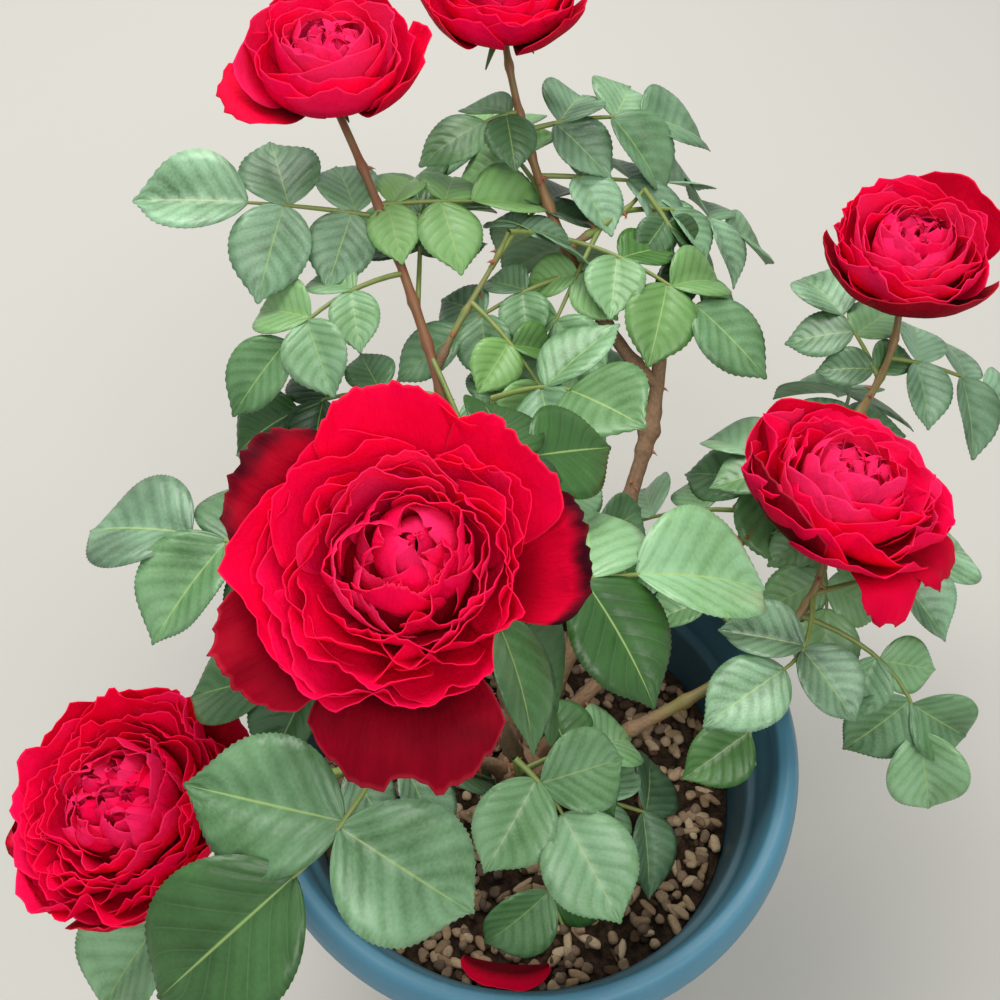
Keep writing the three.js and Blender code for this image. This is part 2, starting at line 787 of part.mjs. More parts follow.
// A cane is cut short of what it springs from.
const stumpRoom = stumpSolid(CLEARANCE);
const canes = new Map();
for (const [name, stem] of Object.entries(STEMS)) {
  const curve = stemCurve(stem);
  curves.set(name, curve);
  const [foot, joint, tip] = stem.thick;
  const grown = [foot + CLEARANCE, joint + CLEARANCE, tip + CLEARANCE];
  canes.set(name, [
    limb(curve, 0, stem.joint, grown[0], grown[1], STEM_SIDES, STEM_STEPS),
    ...(stem.joint < 1 ? [limb(curve, stem.joint, 1, grown[1], grown[2], STEM_SIDES, STEM_STEPS)] : []),
  ]);
  const room = stem.foot.on ? wasm.Manifold.union(canes.get(stem.foot.on)) : stumpRoom;
  const cane = [limb(curve, 0, stem.joint, foot, joint, STEM_SIDES, STEM_STEPS)];
  if (stem.knuckle) cane.push(knuckleSolid(curve.getPointAt(stem.knuckle), joint));
  add("cane_" + name, fused([wasm.Manifold.union(cane).subtract(room)]), "bark");
}

for (const [name, spec] of Object.entries(BLOOMS)) {
  const curve = curves.get(name);
  const axis = direction(spec.heading, 90 - spec.lean);
  const seat = curve.getPointAt(1).addScaledVector(axis, HIP_RADIUS + CLEARANCE);
  const turn = new THREE.Matrix4().makeRotationFromQuaternion(
    new THREE.Quaternion().setFromUnitVectors(new THREE.Vector3(0, 0, 1), axis),
  );
  const geometry = geometryOf(bloomSolid(spec)).applyMatrix4(turn).translate(...seat);
  add("bloom_" + name, solidOf(geometry), "petal");
}

add("fallen_petal", petalSolid(FALLEN_PETAL, 4, 3), "petal");

for (const [name, spec] of Object.entries(SHOOTS)) {
  const leaves = shootLeaves(curves.get(name), spec);
  const otherStems = [...canes].filter(([other]) => other !== name).flatMap(([, limbs]) => limbs);
  const others = [...solids.values(), ...otherStems];
  add("shoot_" + name, shootSolid(name, curves.get(name), STEMS[name], leaves, others), "leaf");
}

export default group;
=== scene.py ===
"""The finished look of the potted rose bush: petals, leaves, canes, pot and potting mix.

Sizes are in millimetres and become metres when a mesh is made. The origin is the middle of the pot's
underside, Z is up and -Y is the front. Headings turn from +X towards +Y, in degrees.
"""

import itertools
import math
from collections import namedtuple

import bmesh
import bpy
import numpy as np
from mathutils import Matrix, Vector


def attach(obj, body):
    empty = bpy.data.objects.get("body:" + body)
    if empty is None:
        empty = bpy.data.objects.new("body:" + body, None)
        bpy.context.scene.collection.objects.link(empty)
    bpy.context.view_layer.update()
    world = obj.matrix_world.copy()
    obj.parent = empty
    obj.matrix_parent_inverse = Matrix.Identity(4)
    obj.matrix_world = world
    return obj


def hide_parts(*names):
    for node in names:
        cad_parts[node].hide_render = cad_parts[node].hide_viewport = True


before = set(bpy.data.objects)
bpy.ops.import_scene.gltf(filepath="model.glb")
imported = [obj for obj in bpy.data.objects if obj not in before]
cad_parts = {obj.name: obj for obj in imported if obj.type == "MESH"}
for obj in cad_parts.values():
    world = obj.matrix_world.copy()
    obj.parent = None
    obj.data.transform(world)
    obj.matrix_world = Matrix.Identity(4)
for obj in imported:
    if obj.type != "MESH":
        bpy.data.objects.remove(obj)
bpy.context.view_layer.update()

MM = 0.001

# Pot and potting mix
POT_HEIGHT = 250
POT_FOOT_RADIUS = 92
POT_RIM_RADIUS = 135
POT_MOUTH_RADIUS = 121
POT_FLOOR = 8
POT_WALL = 4
RIM_DEPTH = 30
LEDGE_DROP = 36
SOIL_LEVEL = 180
CLEARANCE = 0.35
PELLETS = 1150
# Each kind of pellet: the share of them up to it, its ranges of length, width, thickness and tone, its grey
PELLET_KINDS = (
    (0.3, (4, 6.5), (2.0, 2.8), (1.8, 2.4), (0.55, 0.95), 0.1),
    (0.75, (2.6, 4), (2.2, 3.2), (1.8, 2.7), (0.35, 0.85), 0.25),
    (1, (1.5, 4.5), (1.2, 3.0), (1.0, 1.8), (0.05, 0.4), 0),
)

# Stems, leaves and blooms, as the solids grow them
STUMP_RADIUS = 14
STUMP_HEIGHT = 30
STUMP_BRANCHING = 18.6
GOLDEN_ANGLE = 137.5
LEAFLET_WIDTH = 0.78
STALK_RADIUS = 1.1
PAIR_SLOPE = 10
PAIR_GAP = 0.56
END_GAP = 0.34
LAST_PAIR = 0.86
FIRST_PAIR = 0.7
HIP_RADIUS = 5.2

# Finer growth that only shows here
LEAF_SHEET = 0.45
SEPAL_SHEET = 0.6
PETAL_SHEET = 0.32
DROPPED_SHEET = 0.5
SIDE_VEINS = 7
VEIN_SLANT = 2.0
STEM_RINGS = 90
RING_SHARES = np.linspace(0, 1, STEM_RINGS + 1)
STALK_STEPS = 9
THORN_STEPS = 5
KNOT_GAP = 26
THORN_GAP = 17
SEPALS = 5
MAIN_PETAL_GRID = (30, 18)
PETAL_GRID = (16, 12)
NEAR_LEAF_GRID = (10, 56)
FAR_LEAF_GRID = (8, 32)


def chance(seed, count):
    """A repeatable number from 0 to 1 for a seed and a count."""
    wave = math.sin(count * 12.9898 + seed * 4.1414) * 43758.5453
    return wave - math.floor(wave)


def spread_of(seed, count, low, high):
    """A repeatable number from low to high."""
    return low + (high - low) * chance(seed, count)


def direction(heading, rise):
    """A unit vector from a heading and a rise above level."""
    heading, rise = math.radians(heading), math.radians(rise)
    flat = math.cos(rise)
    return np.array([flat * math.cos(heading), flat * math.sin(heading), math.sin(rise)])


def turned(vector, axis, degrees):
    """A vector turned round an axis."""
    axis = axis / np.linalg.norm(axis)
    angle = math.radians(degrees)
    return (
        vector * math.cos(angle)
        + np.cross(axis, vector) * math.sin(angle)
        + axis * np.dot(axis, vector) * (1 - math.cos(angle))
    )


def bezier(points, t):
    """Points along a cubic curve, one row for each t."""
    a, b, c, d = (np.asarray(p, float) for p in points)
    t = np.asarray(t)[:, None]
    return (1 - t) ** 3 * a + 3 * (1 - t) ** 2 * t * b + 3 * (1 - t) * t * t * c + t**3 * d


def smooth(low, high, x):
    """0 below low, 1 above high, with a soft step between them."""
    t = np.clip((x - low) / (high - low), 0, 1)
    return t * t * (3 - 2 * t)


# TEMPLATES: grids from bmesh operators, which the shapes below bend

def grid_arrays(bm):
    """A grid's points and its faces as arrays."""
    bm.verts.index_update()
    spots = np.array([vert.co[:] for vert in bm.verts])
    faces = np.array([[vert.index for vert in face.verts] for face in bm.faces])
    bm.free()
    return spots, faces


def flat_grid(columns, rows):
    """A grid as u across from -1 to 1, v along from 0 to 1, and its faces."""
    bm = bmesh.new()
    bmesh.ops.create_grid(bm, x_segments=columns, y_segments=rows, size=1)
    spots, faces = grid_arrays(bm)
    return spots[:, 0], (spots[:, 1] + 1) / 2, faces


def rolled_grid(sides, steps):
    """A tube as an angle round it, v along from 0 to 1, and its faces."""
    bm = bmesh.new()
    bmesh.ops.create_grid(bm, x_segments=sides, y_segments=steps, size=1)
    for vert in bm.verts:
        angle = math.pi * vert.co.x
        vert.co = (math.cos(angle), math.sin(angle), (vert.co.y + 1) / 2)
    bmesh.ops.remove_doubles(bm, verts=bm.verts, dist=1e-4)
    spots, faces = grid_arrays(bm)
    return np.arctan2(spots[:, 1], spots[:, 0]), spots[:, 2], faces


def ball_grid(cuts):
    """A ball's points and its four-sided faces."""
    bm = bmesh.new()
    bmesh.ops.create_cube(bm, size=2)
    bmesh.ops.subdivide_edges(bm, edges=bm.edges, cuts=cuts, use_grid_fill=True)
    for vert in bm.verts:
        vert.co = vert.co.normalized()
    return grid_arrays(bm)


def stand(name, mesh, finish):
    """A mesh and its finish as an object in the scene."""
    mesh.materials.append(finish)
    thing = bpy.data.objects.new(name, mesh)
    bpy.context.scene.collection.objects.link(thing)
    return thing


def dress(thing, nodes=()):
    """Makes an object a piece of the plant, which stands for the solids named in nodes."""
    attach(thing, "root")
    if nodes:
        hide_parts(*nodes)


class Pile:
    """Many small shapes that become one mesh. A shape has points, faces, a map and a tint for each point."""

    def __init__(self):
        self.points, self.faces, self.uvs, self.tints = [], [], [], []
        self.count = 0

    def put(self, points, faces, uv, tint=(0, 0, 0)):
        """Adds a shape. tint is one for all its points or one for each."""
        amount = len(points)
        self.points.append(points)
        self.faces.append(faces + self.count)
        self.uvs.append(np.stack(uv, -1))
        self.tints.append(np.broadcast_to(np.asarray(tint, float), (amount, 3)))
        self.count += amount

    def piece(self, name, finish, slot, nodes=(), sheet=0, under=None):
        """The pile as an object on the plant. sheet is its thickness, and under is its lower finish."""
        points = np.concatenate(self.points) * MM
        faces = np.concatenate(self.faces)
        uvs = np.concatenate(self.uvs)
        tints = np.concatenate(self.tints)
        mesh = bpy.data.meshes.new(name)
        mesh.vertices.add(len(points))
        mesh.vertices.foreach_set("co", points.ravel())
        mesh.loops.add(faces.size)
        mesh.loops.foreach_set("vertex_index", faces.ravel())
        mesh.polygons.add(len(faces))
        mesh.polygons.foreach_set("loop_start", np.arange(0, faces.size, 4))
        mesh.polygons.foreach_set("use_smooth", np.ones(len(faces), bool))
        mesh.update(calc_edges=True)
        mesh.uv_layers.new(name="blade").data.foreach_set("uv", uvs[faces.ravel()].ravel())
        colour = mesh.attributes.new("tint", "FLOAT_COLOR", "POINT")
        colour.data.foreach_set("color", np.column_stack([tints, np.ones(len(tints))]).ravel())
        mesh.validate()
        thing = stand(name, mesh, finish)
        if sheet:
            wall = thing.modifiers.new("thickness", "SOLIDIFY")
            wall.thickness = sheet * MM
            wall.offset = 0
            if under:
                mesh.materials.append(under)
                wall.material_offset = 1
        dress(thing, nodes)


def sweep(pile, template, path, radii, tint=(0, 0, 0), swell=None):
    """A limb: a tube that follows path, with a radius for each of its rings.

    tint may be a function of the place along it, and swell one of the angle and the place.
    """
    angle, v, faces = template
    rings = len(path) - 1
    ring = np.rint(v * rings).astype(int)
    along = np.gradient(path, axis=0)
    along /= np.linalg.norm(along, axis=1)[:, None]
    across = np.zeros_like(path)
    last = np.array([1.0, 0, 0])
    for i, forward in enumerate(along):
        last = last - forward * np.dot(last, forward)
        last = last / np.linalg.norm(last)
        across[i] = last
    behind = np.cross(along, across)
    radius = np.asarray(radii)[ring]
    if swell is not None:
        radius = radius * swell(angle, v)
    points = (
        path[ring]
        + across[ring] * (radius * np.cos(angle))[:, None]
        + behind[ring] * (radius * np.sin(angle))[:, None]
    )
    if callable(tint):
        tint = tint(v)
    pile.put(points, faces, (angle / (2 * math.pi) + 0.5, v), tint)


# FINISHES: shader maths as expressions

class Value:
    """A socket of a finish's node tree. Sums on it add Math nodes."""

    def __init__(self, finish, socket):
        self.finish, self.socket = finish, socket

    def math(self, operation, *others, clamp=False):
        """A Math node on this value and the others."""
        settings = {"operation": operation, "use_clamp": clamp}
        return self.finish.node("ShaderNodeMath", settings, dict(enumerate((self, *others))))

    def __add__(self, other):
        return self.math("ADD", other)

    def __sub__(self, other):
        return self.math("SUBTRACT", other)

    def __rsub__(self, other):
        return self.finish.node("ShaderNodeMath", {"operation": "SUBTRACT"}, {0: other, 1: self})

    def __mul__(self, other):
        return self.math("MULTIPLY", other)

    __radd__, __rmul__ = __add__, __mul__

    def clamped(self):
        """The value held between 0 and 1."""
        return self.math("ADD", 0.0, clamp=True)

    def between(self, low, high):
        """0 below low, 1 above high, with a soft step between them."""
        settings = {"interpolation_type": "SMOOTHSTEP"}
        sockets = {"Value": self, "From Min": low, "From Max": high}
        return self.finish.node("ShaderNodeMapRange", settings, sockets)


class Finish:
    """A material built up in code."""

    def __init__(self, name):
        self.material = bpy.data.materials.new(name)
        self.material.use_nodes = True
        self.tree = self.material.node_tree
        self.tree.nodes.clear()
        self.out = self.tree.nodes.new("ShaderNodeOutputMaterial")

    def node(self, kind, settings=None, sockets=None, output=0):
        """Adds a node, with its settings first and then the values or links of its sockets."""
        made = self.tree.nodes.new(kind)
        for name, value in (settings or {}).items():
            if name == "stops":
                self.set_stops(made.color_ramp, value)
            else:
                setattr(made, name, value)
        for name, value in (sockets or {}).items():
            if isinstance(value, Value):
                self.tree.links.new(value.socket, made.inputs[name])
            else:
                made.inputs[name].default_value = value
        return Value(self, made.outputs[output])

    @staticmethod
    def set_stops(ramp, stops):
        """Gives a colour ramp its stops, each a place and a colour."""
        while len(ramp.elements) > 1:
            ramp.elements.remove(ramp.elements[-1])
        for i, (place, colour) in enumerate(stops):
            stop = ramp.elements[0] if i == 0 else ramp.elements.new(place)
            stop.position = place
            stop.color = colour

    def place(self):
        """The place on the plant, in metres."""
        return self.node("ShaderNodeTexCoord", output="Object")

    def tint(self):
        """The three numbers that a mesh's tint holds."""
        attribute = self.node("ShaderNodeAttribute", {"attribute_name": "tint"}, output="Color")
        return [self.node("ShaderNodeSeparateColor", sockets={0: attribute}, output=i) for i in range(3)]

    def parts(self, vector):
        """A vector's three numbers."""
        return [self.node("ShaderNodeSeparateXYZ", sockets={0: vector}, output=i) for i in range(3)]

    def blade(self):
        """The place on a mesh's own map: across and along."""
        return self.parts(self.node("ShaderNodeUVMap", {"uv_map": "blade"}))[:2]

    def vector(self, x, y):
        return self.node("ShaderNodeCombineXYZ", sockets={0: x, 1: y})

    def ramp(self, value, stops):
        """A colour from a value of 0 to 1."""
        return self.node("ShaderNodeValToRGB", {"stops": stops}, {0: value.clamped()})

    def noise(self, vector, scale, detail, roughness=0.55):
        """Soft noise from 0 to 1."""
        sockets = {"Vector": vector, "Scale": scale, "Detail": detail, "Roughness": roughness}
        return self.node("ShaderNodeTexNoise", sockets=sockets)

    def mix(self, share, first, second):
        """A colour between two, as a share of the way."""
        return self.node("ShaderNodeMix", {"data_type": "RGBA"}, {0: share, 6: first, 7: second}, output=2)

    def bump(self, height, distance, strength):
        """A relief. distance is its depth in millimetres."""
        sockets = {"Height": height, "Distance": distance * MM, "Strength": strength}
        return self.node("ShaderNodeBump", sockets=sockets)

    def surface(self, through=0.0, glow=None, **sockets):
        """Ends the material. through is the share of light that passes a thin sheet, and glow its colour."""
        names = {}
        for name, value in sockets.items():
            names[name.replace("_", " ").title().replace("Ior", "IOR")] = value
        shader = self.node("ShaderNodeBsdfPrincipled", sockets=names)
        if glow:
            thin = self.node("ShaderNodeBsdfTranslucent", sockets={"Color": glow, "Normal": names["Normal"]})
            shader = self.node("ShaderNodeMixShader", sockets={0: through, 1: shader, 2: thin})
        self.tree.links.new(shader.socket, self.out.inputs["Surface"])
        return self.material


def paint(red, green, blue):
    """An sRGB colour, 0 to 255, as the linear colour that a shader takes."""
    def linear(level):
        level /= 255
        return level / 12.92 if level <= 0.04045 else ((level + 0.055) / 1.055) ** 2.4

    return (linear(red), linear(green), linear(blue), 1)


def petal_finish():
    """Velvety red. The tint holds the tone, from deep to rosy, the painted rim highlight's strength and the
    scorch.
    """
    f = Finish("petal")
    tone, pale, scorch = f.tint()
    across, along = f.blade()
    aside = (across * 2 - 1).math("ABSOLUTE")
    streaks = f.noise(f.vector(across * 46, along * 5), 1.0, 3)
    cloud = f.noise(f.place(), 45.0, 2)
    crumple = f.noise(f.vector(across * 7, along * 3.5), 1.0, 3)
    tone = tone + (streaks - 0.5) * 0.08 + (cloud - 0.5) * 0.24
    stops = [
        (0, paint(88, 0, 12)),
        (0.3, paint(176, 0, 34)),
        (0.62, paint(248, 0, 62)),
        (0.85, paint(255, 8, 84)),
        (1, paint(255, 44, 112)),
    ]
    colour = f.ramp(tone, stops)
    # Painted highlight: a paler pink along the margin, where the petal rims catch the light; pale sets how
    # strong it is.
    margin = aside.math("MAXIMUM", along).between(0.965, 1.0)
    colour = f.mix(margin * pale, colour, paint(255, 76, 98))
    burnt = (scorch + (cloud - 0.5) * 0.7 + (streaks - 0.5) * 0.08).between(0.42, 0.8)
    colour = f.mix(burnt, colour, paint(44, 4, 14))
    return f.surface(
        base_color=colour,
        roughness=0.66,
        specular_ior_level=0.05,
        normal=f.bump(crumple + streaks * 0.2, 1.8, 0.7),
        through=tone.clamped() * (1 - burnt) * 0.38,
        glow=paint(236, 0, 54),
    )


def leaf_finish(name, under):
    """Leaf green, painted darker in its sunken side veins. The tint holds tone, a painted sheen and redness.
    """
    f = Finish(name)
    tone, painted_sheen, young = f.tint()
    across, along = f.blade()
    aside = (across * 2 - 1).math("ABSOLUTE")
    rib = 1 - aside.between(0.004, 0.032)
    phase = along * SIDE_VEINS - aside * VEIN_SLANT
    near_vein = phase.math("PINGPONG", 0.5)
    vein = (1 - near_vein.between(0.0, 0.06)) * (1 - aside.between(0.7, 0.95))
    mottle = f.noise(f.vector(across * 30, along * 40), 1.0, 3)
    cloud = f.noise(f.place(), 40.0, 2)
    # The vein term is painted light: darker in the sunken veins, lighter on the swellings between them.
    tone = tone + (cloud - 0.5) * 0.35 + (near_vein - 0.25) * 0.17 + (mottle - 0.5) * 0.16
    if under:
        stops = [(0, paint(70, 100, 66)), (0.5, paint(104, 134, 94)), (1, paint(134, 160, 116))]
    else:
        stops = [(0, paint(14, 40, 6)), (0.45, paint(46, 92, 22)), (1, paint(126, 172, 92))]
    colour = f.ramp(tone, stops)
    # Painted sheen: a pale painted highlight, strongest on the swellings between the veins and patchy across
    # the leaf.
    sheen = painted_sheen * (0.49 + near_vein * 0.46 + (cloud - 0.5) * 1.5 + (mottle - 0.5) * 0.6)
    colour = f.mix(sheen.clamped(), colour, paint(150, 190, 150))
    colour = f.mix(young, colour, paint(112, 60, 44))
    colour = f.mix(vein * 0.22, colour, paint(104, 146, 84))
    colour = f.mix(rib * 0.7, colour, paint(164, 188, 108))
    relief = mottle * 0.35 + near_vein.between(0.0, 0.35)
    return f.surface(
        base_color=colour,
        roughness=0.6 if under else 0.36,
        specular_ior_level=0.35 if under else 0.52,
        normal=f.bump(relief, -0.35 if under else 0.35, 0.5),
        through=0.12,
        glow=paint(110, 160, 40),
    )


def stem_finish():
    """Green shoot to brown cane. The tint holds how woody and how red the stem is."""
    f = Finish("stem")
    woody, red, _ = f.tint()
    around, along = f.blade()
    place = f.place()
    grain = f.noise(f.vector(around * 14, along * 90), 1.0, 4)
    blotch = f.noise(place, 120.0, 3)
    green = f.mix(blotch, paint(88, 108, 46), paint(138, 150, 76))
    green = f.mix((red + (blotch - 0.5) * 0.7).between(0.2, 0.9), green, paint(128, 78, 50))
    bark = f.mix(grain, paint(80, 56, 38), paint(152, 120, 88))
    colour = f.mix((woody + (grain - 0.5) * 0.5).between(0.3, 0.7), green, bark)
    return f.surface(
        base_color=colour,
        roughness=0.45 + woody * 0.4,
        normal=f.bump(grain * woody + blotch * 0.3, 0.8, 0.8),
    )


def thorn_finish():
    """Reddish horn."""
    f = Finish("thorn")
    blotch = f.noise(f.place(), 300.0, 2)
    colour = f.mix(blotch, paint(128, 62, 44), paint(168, 110, 76))
    return f.surface(base_color=colour, roughness=0.4)


def pot_finish():
    """Moulded plastic with fine turning marks, scuffs and dried splashes, and painted shade below the rim."""
    f = Finish("pot")
    place = f.place()
    height = f.parts(place)[2]
    cloud = f.noise(place, 9.0, 4)
    speck = f.noise(place, 420.0, 2)
    scuff = f.noise(place, 34.0, 6, 0.7)
    colour = f.mix(cloud, paint(52, 100, 120), paint(74, 126, 146))
    colour = f.mix(scuff.between(0.6, 0.78) * 0.35, colour, paint(128, 160, 172))
    # Painted shade: below the rim the whole pot, outside and in, takes a darker teal than the lit rim.
    colour = f.mix(height.between(0.208, 0.232), paint(42, 76, 86), colour)
    inside = 1 - height.between(0.205, 0.222)
    dust = (inside * speck.between(0.5, 0.7)) * 0.5
    colour = f.mix(dust, colour, paint(84, 78, 66))
    sockets = {"Vector": place, "Scale": 130.0, "Distortion": 0.6}
    rings = f.node("ShaderNodeTexWave", {"bands_direction": "Z"}, sockets)
    return f.surface(
        base_color=colour,
        roughness=0.36 + scuff * 0.22,
        specular_ior_level=0.5,
        normal=f.bump(rings * 0.4 + speck * 0.3 + cloud, 0.25, 0.5),
    )


def soil_finish():
    """Dark crumbly mix."""
    f = Finish("potting_soil")
    place = f.place()
    crumbs = f.noise(place, 260.0, 6, 0.7)
    cloud = f.noise(place, 30.0, 3)
    colour = f.mix(crumbs.between(0.35, 0.7), paint(30, 22, 16), paint(84, 64, 46))
    colour = f.mix(cloud * 0.5, colour, paint(52, 38, 28))
    relief = f.bump(crumbs, 2.0, 0.9)
    return f.surface(base_color=colour, roughness=0.95, specular_ior_level=0.2, normal=relief)


def granule_finish():
    """Bark pellets and fibres. The tint holds each one's tone and how grey it is."""
    f = Finish("granule")
    tone, grey, _ = f.tint()
    place = f.place()
    grain = f.noise(place, 520.0, 4, 0.7)
    stops = [
        (0, paint(44, 32, 24)),
        (0.4, paint(92, 70, 50)),
        (0.75, paint(166, 136, 102)),
        (1, paint(212, 188, 152)),
    ]
    colour = f.ramp(tone + (grain - 0.5) * 0.4, stops)
    colour = f.mix(grey * 0.6, colour, paint(150, 142, 134))
    relief = f.bump(grain, 0.6, 0.9)
    return f.surface(base_color=colour, roughness=0.9, specular_ior_level=0.25, normal=relief)


petal_skin = petal_finish()
leaf_top = leaf_finish("leaf_top", under=False)
leaf_under = leaf_finish("leaf_under", under=True)
stem_skin = stem_finish()


# STEMS AND LEAVES: the same table and rule as the solids

# foot is where a stem starts: a heading and a distance, or another stem and a share of its length. tip is its
# end as a heading, a distance and a height. lift and arrive are its curve's two handles, as a heading, a rise
# and a length. thick is its radius at the foot, the joint and the tip, and joint the share where bark ends.
STEMS = {
    "main": dict(foot=(240, 2), lift=(235, 82, 90), tip=(230.2, 62.5, 457), arrive=(262, 74, 70),
                 thick=(4.4, 3.6, 2.8), joint=0.5, red=0.2),
    "left": dict(foot=(195, 8), lift=(185, 62, 75), tip=(200.6, 171, 284), arrive=(208, 30, 50),
                 thick=(3.8, 3, 2.5), joint=0.34, red=0.2),
    "right": dict(foot=(335, 8), lift=(0, 55, 84), tip=(27.6, 163, 308), arrive=(106, 44, 60),
                  thick=(3.8, 3.1, 2.5), joint=0.36, red=0.6),
    "upper_right": dict(foot=(25, 8), lift=(42, 62, 130), tip=(48.1, 313, 322), arrive=(112, 58, 100),
                        thick=(4, 3.2, 2.4), joint=0.42, red=0.6),
    "upper_left": dict(foot=(125, 8), lift=(97, 48, 110), tip=(109.4, 296, 405), arrive=(122, 36, 110),
                       thick=(4.4, 3.4, 2.6), joint=0.42, red=0.8),
    "old": dict(foot=(72, 8), lift=(62, 52, 70), tip=(68.1, 193.5, 322), arrive=(92, 52, 60),
                thick=(4.8, 3.7, 3.7), joint=1, knuckle=0.82, red=0.3),
    "front": dict(foot=(290, 8), lift=(285, 60, 40), tip=(262, 40, 304), arrive=(250, 84, 45),
                  thick=(3, 2.4, 1.6), joint=0.24, red=0.2),
    "top": dict(foot=("old", 0.93), lift=(150, 20, 40), tip=(91.8, 322, 419), arrive=(104, 52, 75),
                thick=(3.6, 3.2, 2.3), joint=0.28, red=0.7),
    "side": dict(foot=("top", 0.42), lift=(20, 40, 22), tip=(76, 273, 361), arrive=(50, 30, 20),
                 thick=(2.2, 2, 1.3), joint=0.2, red=0.3),
    "middle": dict(foot=("upper_left", 0.58), lift=(60, 45, 30), tip=(92, 218, 372), arrive=(50, 55, 25),
                   thick=(2.2, 2, 1.3), joint=0.2, red=0.4),
    "behind": dict(foot=("old", 0.4), lift=(130, 60, 40), tip=(97, 130, 345), arrive=(100, 70, 40),
                   thick=(2.6, 2.2, 1.4), joint=0.25, red=0.2),
}

